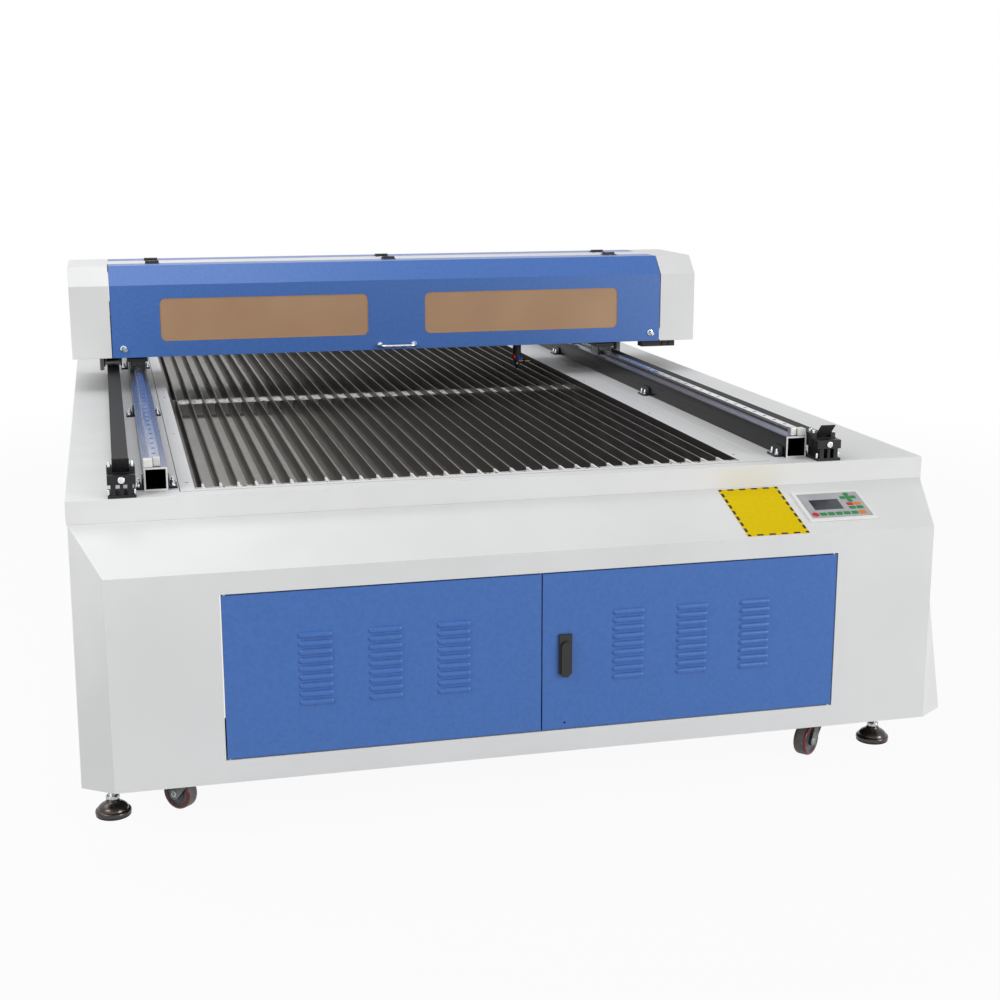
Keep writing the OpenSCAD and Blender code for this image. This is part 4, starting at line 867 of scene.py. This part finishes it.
# the barrel with its collar, and the plug in it, in mm from the barrel's back end forward
barrel = [(0, 0), (7.9, 0), (7.9, 13.3), (10.4, 13.3), (10.4, 15), (9.2, 16.7), (6.2, 17),
          (6.0, 16), (0, 16)]
plug = [(0, 15.9), (5.6, 15.9), (5.2, 16.9), (0, 17)]
barrel_length, key_tilt = 17 * mm, radians(35)
for body in ("lock_left", "lock_right"):
    low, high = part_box(body)
    x, z, front = (low.x + high.x) / 2, low.z + 10.5 * mm, low.y
    lock = bmesh.new()
    place = Matrix.Translation((x, front + barrel_length, z)) @ Matrix.Rotation(radians(90), 4, "X")
    turned(lock, [(r * mm, h * mm) for r, h in barrel], place, 32)
    turned(lock, [(r * mm, h * mm) for r, h in plug], place, 32, 1)
    # the key's shank and its folded bow, then the cam behind the sheet
    tilt = place @ Matrix.Rotation(key_tilt, 4, "Z")
    tapered_box(lock, (-4.2 * mm, -1.2 * mm, 16.5 * mm), (4.2 * mm, 1.2 * mm, 21 * mm), tilt)
    tapered_box(
        lock, (-1.4 * mm, -11.5 * mm, 20 * mm), (7.4 * mm, 1.2 * mm, 23.5 * mm), tilt, edge=0.6 * mm)
    cam_low = (x - 6.5 * mm, front + 14 * mm, z - 6.5 * mm)
    cam_high = (x + 6.5 * mm, front + 17 * mm, z + 44 * mm)
    tapered_box(lock, cam_low, cam_high, edge=1 * mm)
    piece("cam_" + body, lock, body, "chrome_plate", chrome, blue_plug, instead_of=[body])


# ---- Cutting head ----
# A black carriage on the cross rail clamps the lens tube. Red and blue collars
# fix the hose fittings above its cone, and a brass barb takes the air line.
dress(black_plate, "head_carriage", edge_mm=0.8)
dress(black_plate, "lens_tube")
# turned brass: warm yellow, bright
brass = new_finish("turned_brass", ((0, "B08A52"), (1, "D2AC74")), 3, (0.2, 0.32), Metallic=1.0)[0]
# the collars' moulded acetal: strong even red and blue
red_collar = printed("red_acetal_collar", "B01E26", "CC2A32")
blue_collar = printed("blue_acetal_collar", "2448B8", "2E58D0")
BRASS, RED_COLLAR, BLUE_COLLAR, CHROME, BLACK = range(5)
lens_low, lens_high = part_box("lens_tube")
head_low, head_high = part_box("head_carriage")
axis_x = (head_low.x + head_high.x) / 2
lens_r, tip = 13 * mm, lens_low.z
head_y = lens_high.y - lens_r


def round_the_lens(up, degrees):
    """A frame up above the nozzle's tip on the lens tube's axis, its Z pointing out sideways."""
    base = Matrix.Translation((axis_x, head_y, tip + up))
    return base @ Matrix.Rotation(radians(degrees), 4, "Z") @ Matrix.Rotation(radians(90), 4, "Y")


# profiles in mm out from the axis
collar = [(0, 10), (6.5, 10), (7, 11), (7, 15), (5.5, 16.5), (4, 16.5), (4, 14), (0, 14)]
barb = [(0, 9), (5.7, 9), (5.7, 14), (6.6, 14, 6), (6.6, 20, 6), (5, 21), (3.2, 22)]
for k in range(5):
    barb += [(4.2, 23 + 4.4 * k), (3.2, 26.2 + 4.4 * k)]
barb += [(2.4, 46.6), (0, 46.6)]
set_screw = [(0, 7), (4.4, 7), (4.4, 11.5), (3.6, 12.4), (0, 12.4)]
grip = [(12.9, 0), (13.6, 0.4), (13.6, 2.2), (12.9, 2.6), (12.9, 0)]
fittings = bmesh.new()
for up, degrees, profile, steps, finish in (
    (37, 205, collar, 20, RED_COLLAR),
    (33, -62, collar, 20, BLUE_COLLAR),
    (24, -35, barb, 24, BRASS),
    (17, -100, set_screw, 20, CHROME),
):
    place = round_the_lens(up * mm, degrees)
    turned(fittings, [(r * mm, h * mm, *n) for r, h, *n in profile], place, steps, finish)
for up in (27, 45, 60):
    place = Matrix.Translation((axis_x, head_y, tip))
    turned(fittings, [(r * mm, (up + h) * mm) for r, h in grip], place, 32, BLACK)
piece("lens_fittings", fittings, "lens_tube", "chrome_plate",
      brass, red_collar, blue_collar, chrome, black_plate)


# ---- Drive shaft, pulleys and idlers ----
# One steel shaft joins both belt pulleys under the beam. Each belt passes under an
# idler, over its pulley and under the other idler.
dress(ground_steel, "drive_shaft", edge_mm=0.5)
# the idlers' shells: bead-blasted nickel plate, bright and soft
idler_plate = new_finish(
    "satin_nickel_roller", ((0, "D2D0CC"), (1, "E2E0DC")), 5, (0.3, 0.4), 0.01, (8, 1, 1),
    Metallic=0.35)[0]
dress(idler_plate, "idler_fl", "idler_rl", "idler_fr", "idler_rr")


# ---- Casters ----
# Swivel casters with pressed steel forks. The wheels have dark red polyurethane
# tyres, scuffed grey on the tread, on grey hubs with a nut on the axle.

# chromated pressed steel: dark grey, smooth, half bright
fork_steel = new_finish(
    "chromated_pressed_steel", ((0, "626362"), (1, "7A7C7B")), 14, (0.24, 0.34), Metallic=0.9)[0]
dress(fork_steel, "caster_fork_fl", "caster_fork_fr", "caster_fork_rl", "caster_fork_rr", edge_mm=0.6)
# scuffed tread: grey-brown, dull
tread = new_finish(
    "scuffed_polyurethane_tread", ((0, "6C6764"), (1, "85807C")), 4, (0.5, 0.65), 0.04,
    tone_mm=20)[0]
# the tyre's clean sides: dark red, glossy
tyre = new_finish("red_polyurethane_tyre", ((0, "5E0E14"), (1, "741218")), 5, (0.2, 0.3))[0]
# moulded polypropylene hub: slate grey, satin
hub = new_finish(
    "moulded_polypropylene_hub", ((0, "50545A"), (1, "5E6268")), 3, (0.36, 0.46), 0.03)[0]
TREAD, HUB, TYRE, ZINC = range(4)
# rings in mm, (radius, distance from the wheel's middle): the tread, then each side inward
tread_ring = [(37.3, -10.5), (37.5, -9), (37.5, 9), (37.3, 10.5)]
side_rings = (
    ([(37.3, 10.5), (36.8, 12.6), (35, 15), (32.4, 16), (29.6, 16), (28.2, 15)], TYRE),
    ([(28.2, 15), (27.6, 14.2), (26, 14.2), (25.4, 12.6), (20, 12), (19.6, 13), (14, 13.4),
      (13, 12.4)], HUB),
    ([(13, 12.4), (12, 12.4), (12, 15.7), (6.6, 15.9)], HUB),
    ([(6.6, 15.9), (6.4, 15.9), (5, 15.9), (5, 22), (0, 22)], ZINC),
)
axle_nut = [(0, 19.2), (7.6, 19.2, 6), (7.6, 21.4, 6), (6.4, 22), (0, 22)]
# each fork's heading as it came to rest, in degrees
for corner_name, heading in (("fl", 134), ("fr", 218), ("rl", 315), ("rr", 250)):
    node = "caster_wheel_" + corner_name
    low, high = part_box(node)
    axle = Matrix.Rotation(radians(heading), 4, "Z") @ Matrix.Rotation(radians(90), 4, "X")
    place = Matrix.Translation((low + high) / 2) @ axle
    wheel = bmesh.new()
    turned(wheel, [(r * mm, h * mm) for r, h in tread_ring], place, 64, TREAD)
    for side in (-1, 1):
        for profile, finish in side_rings:
            turned(wheel, [(r * mm, side * h * mm) for r, h in profile], place, 64, finish)
        nut = [(r * mm, side * h * mm, *n) for r, h, *n in axle_nut]
        turned(wheel, nut, place, 24, ZINC)
    body = "wheel_" + corner_name
    piece(body + "_tyre_and_hub", wheel, body, "wheel_plastic", tread, hub, tyre, zinc,
          instead_of=[node])
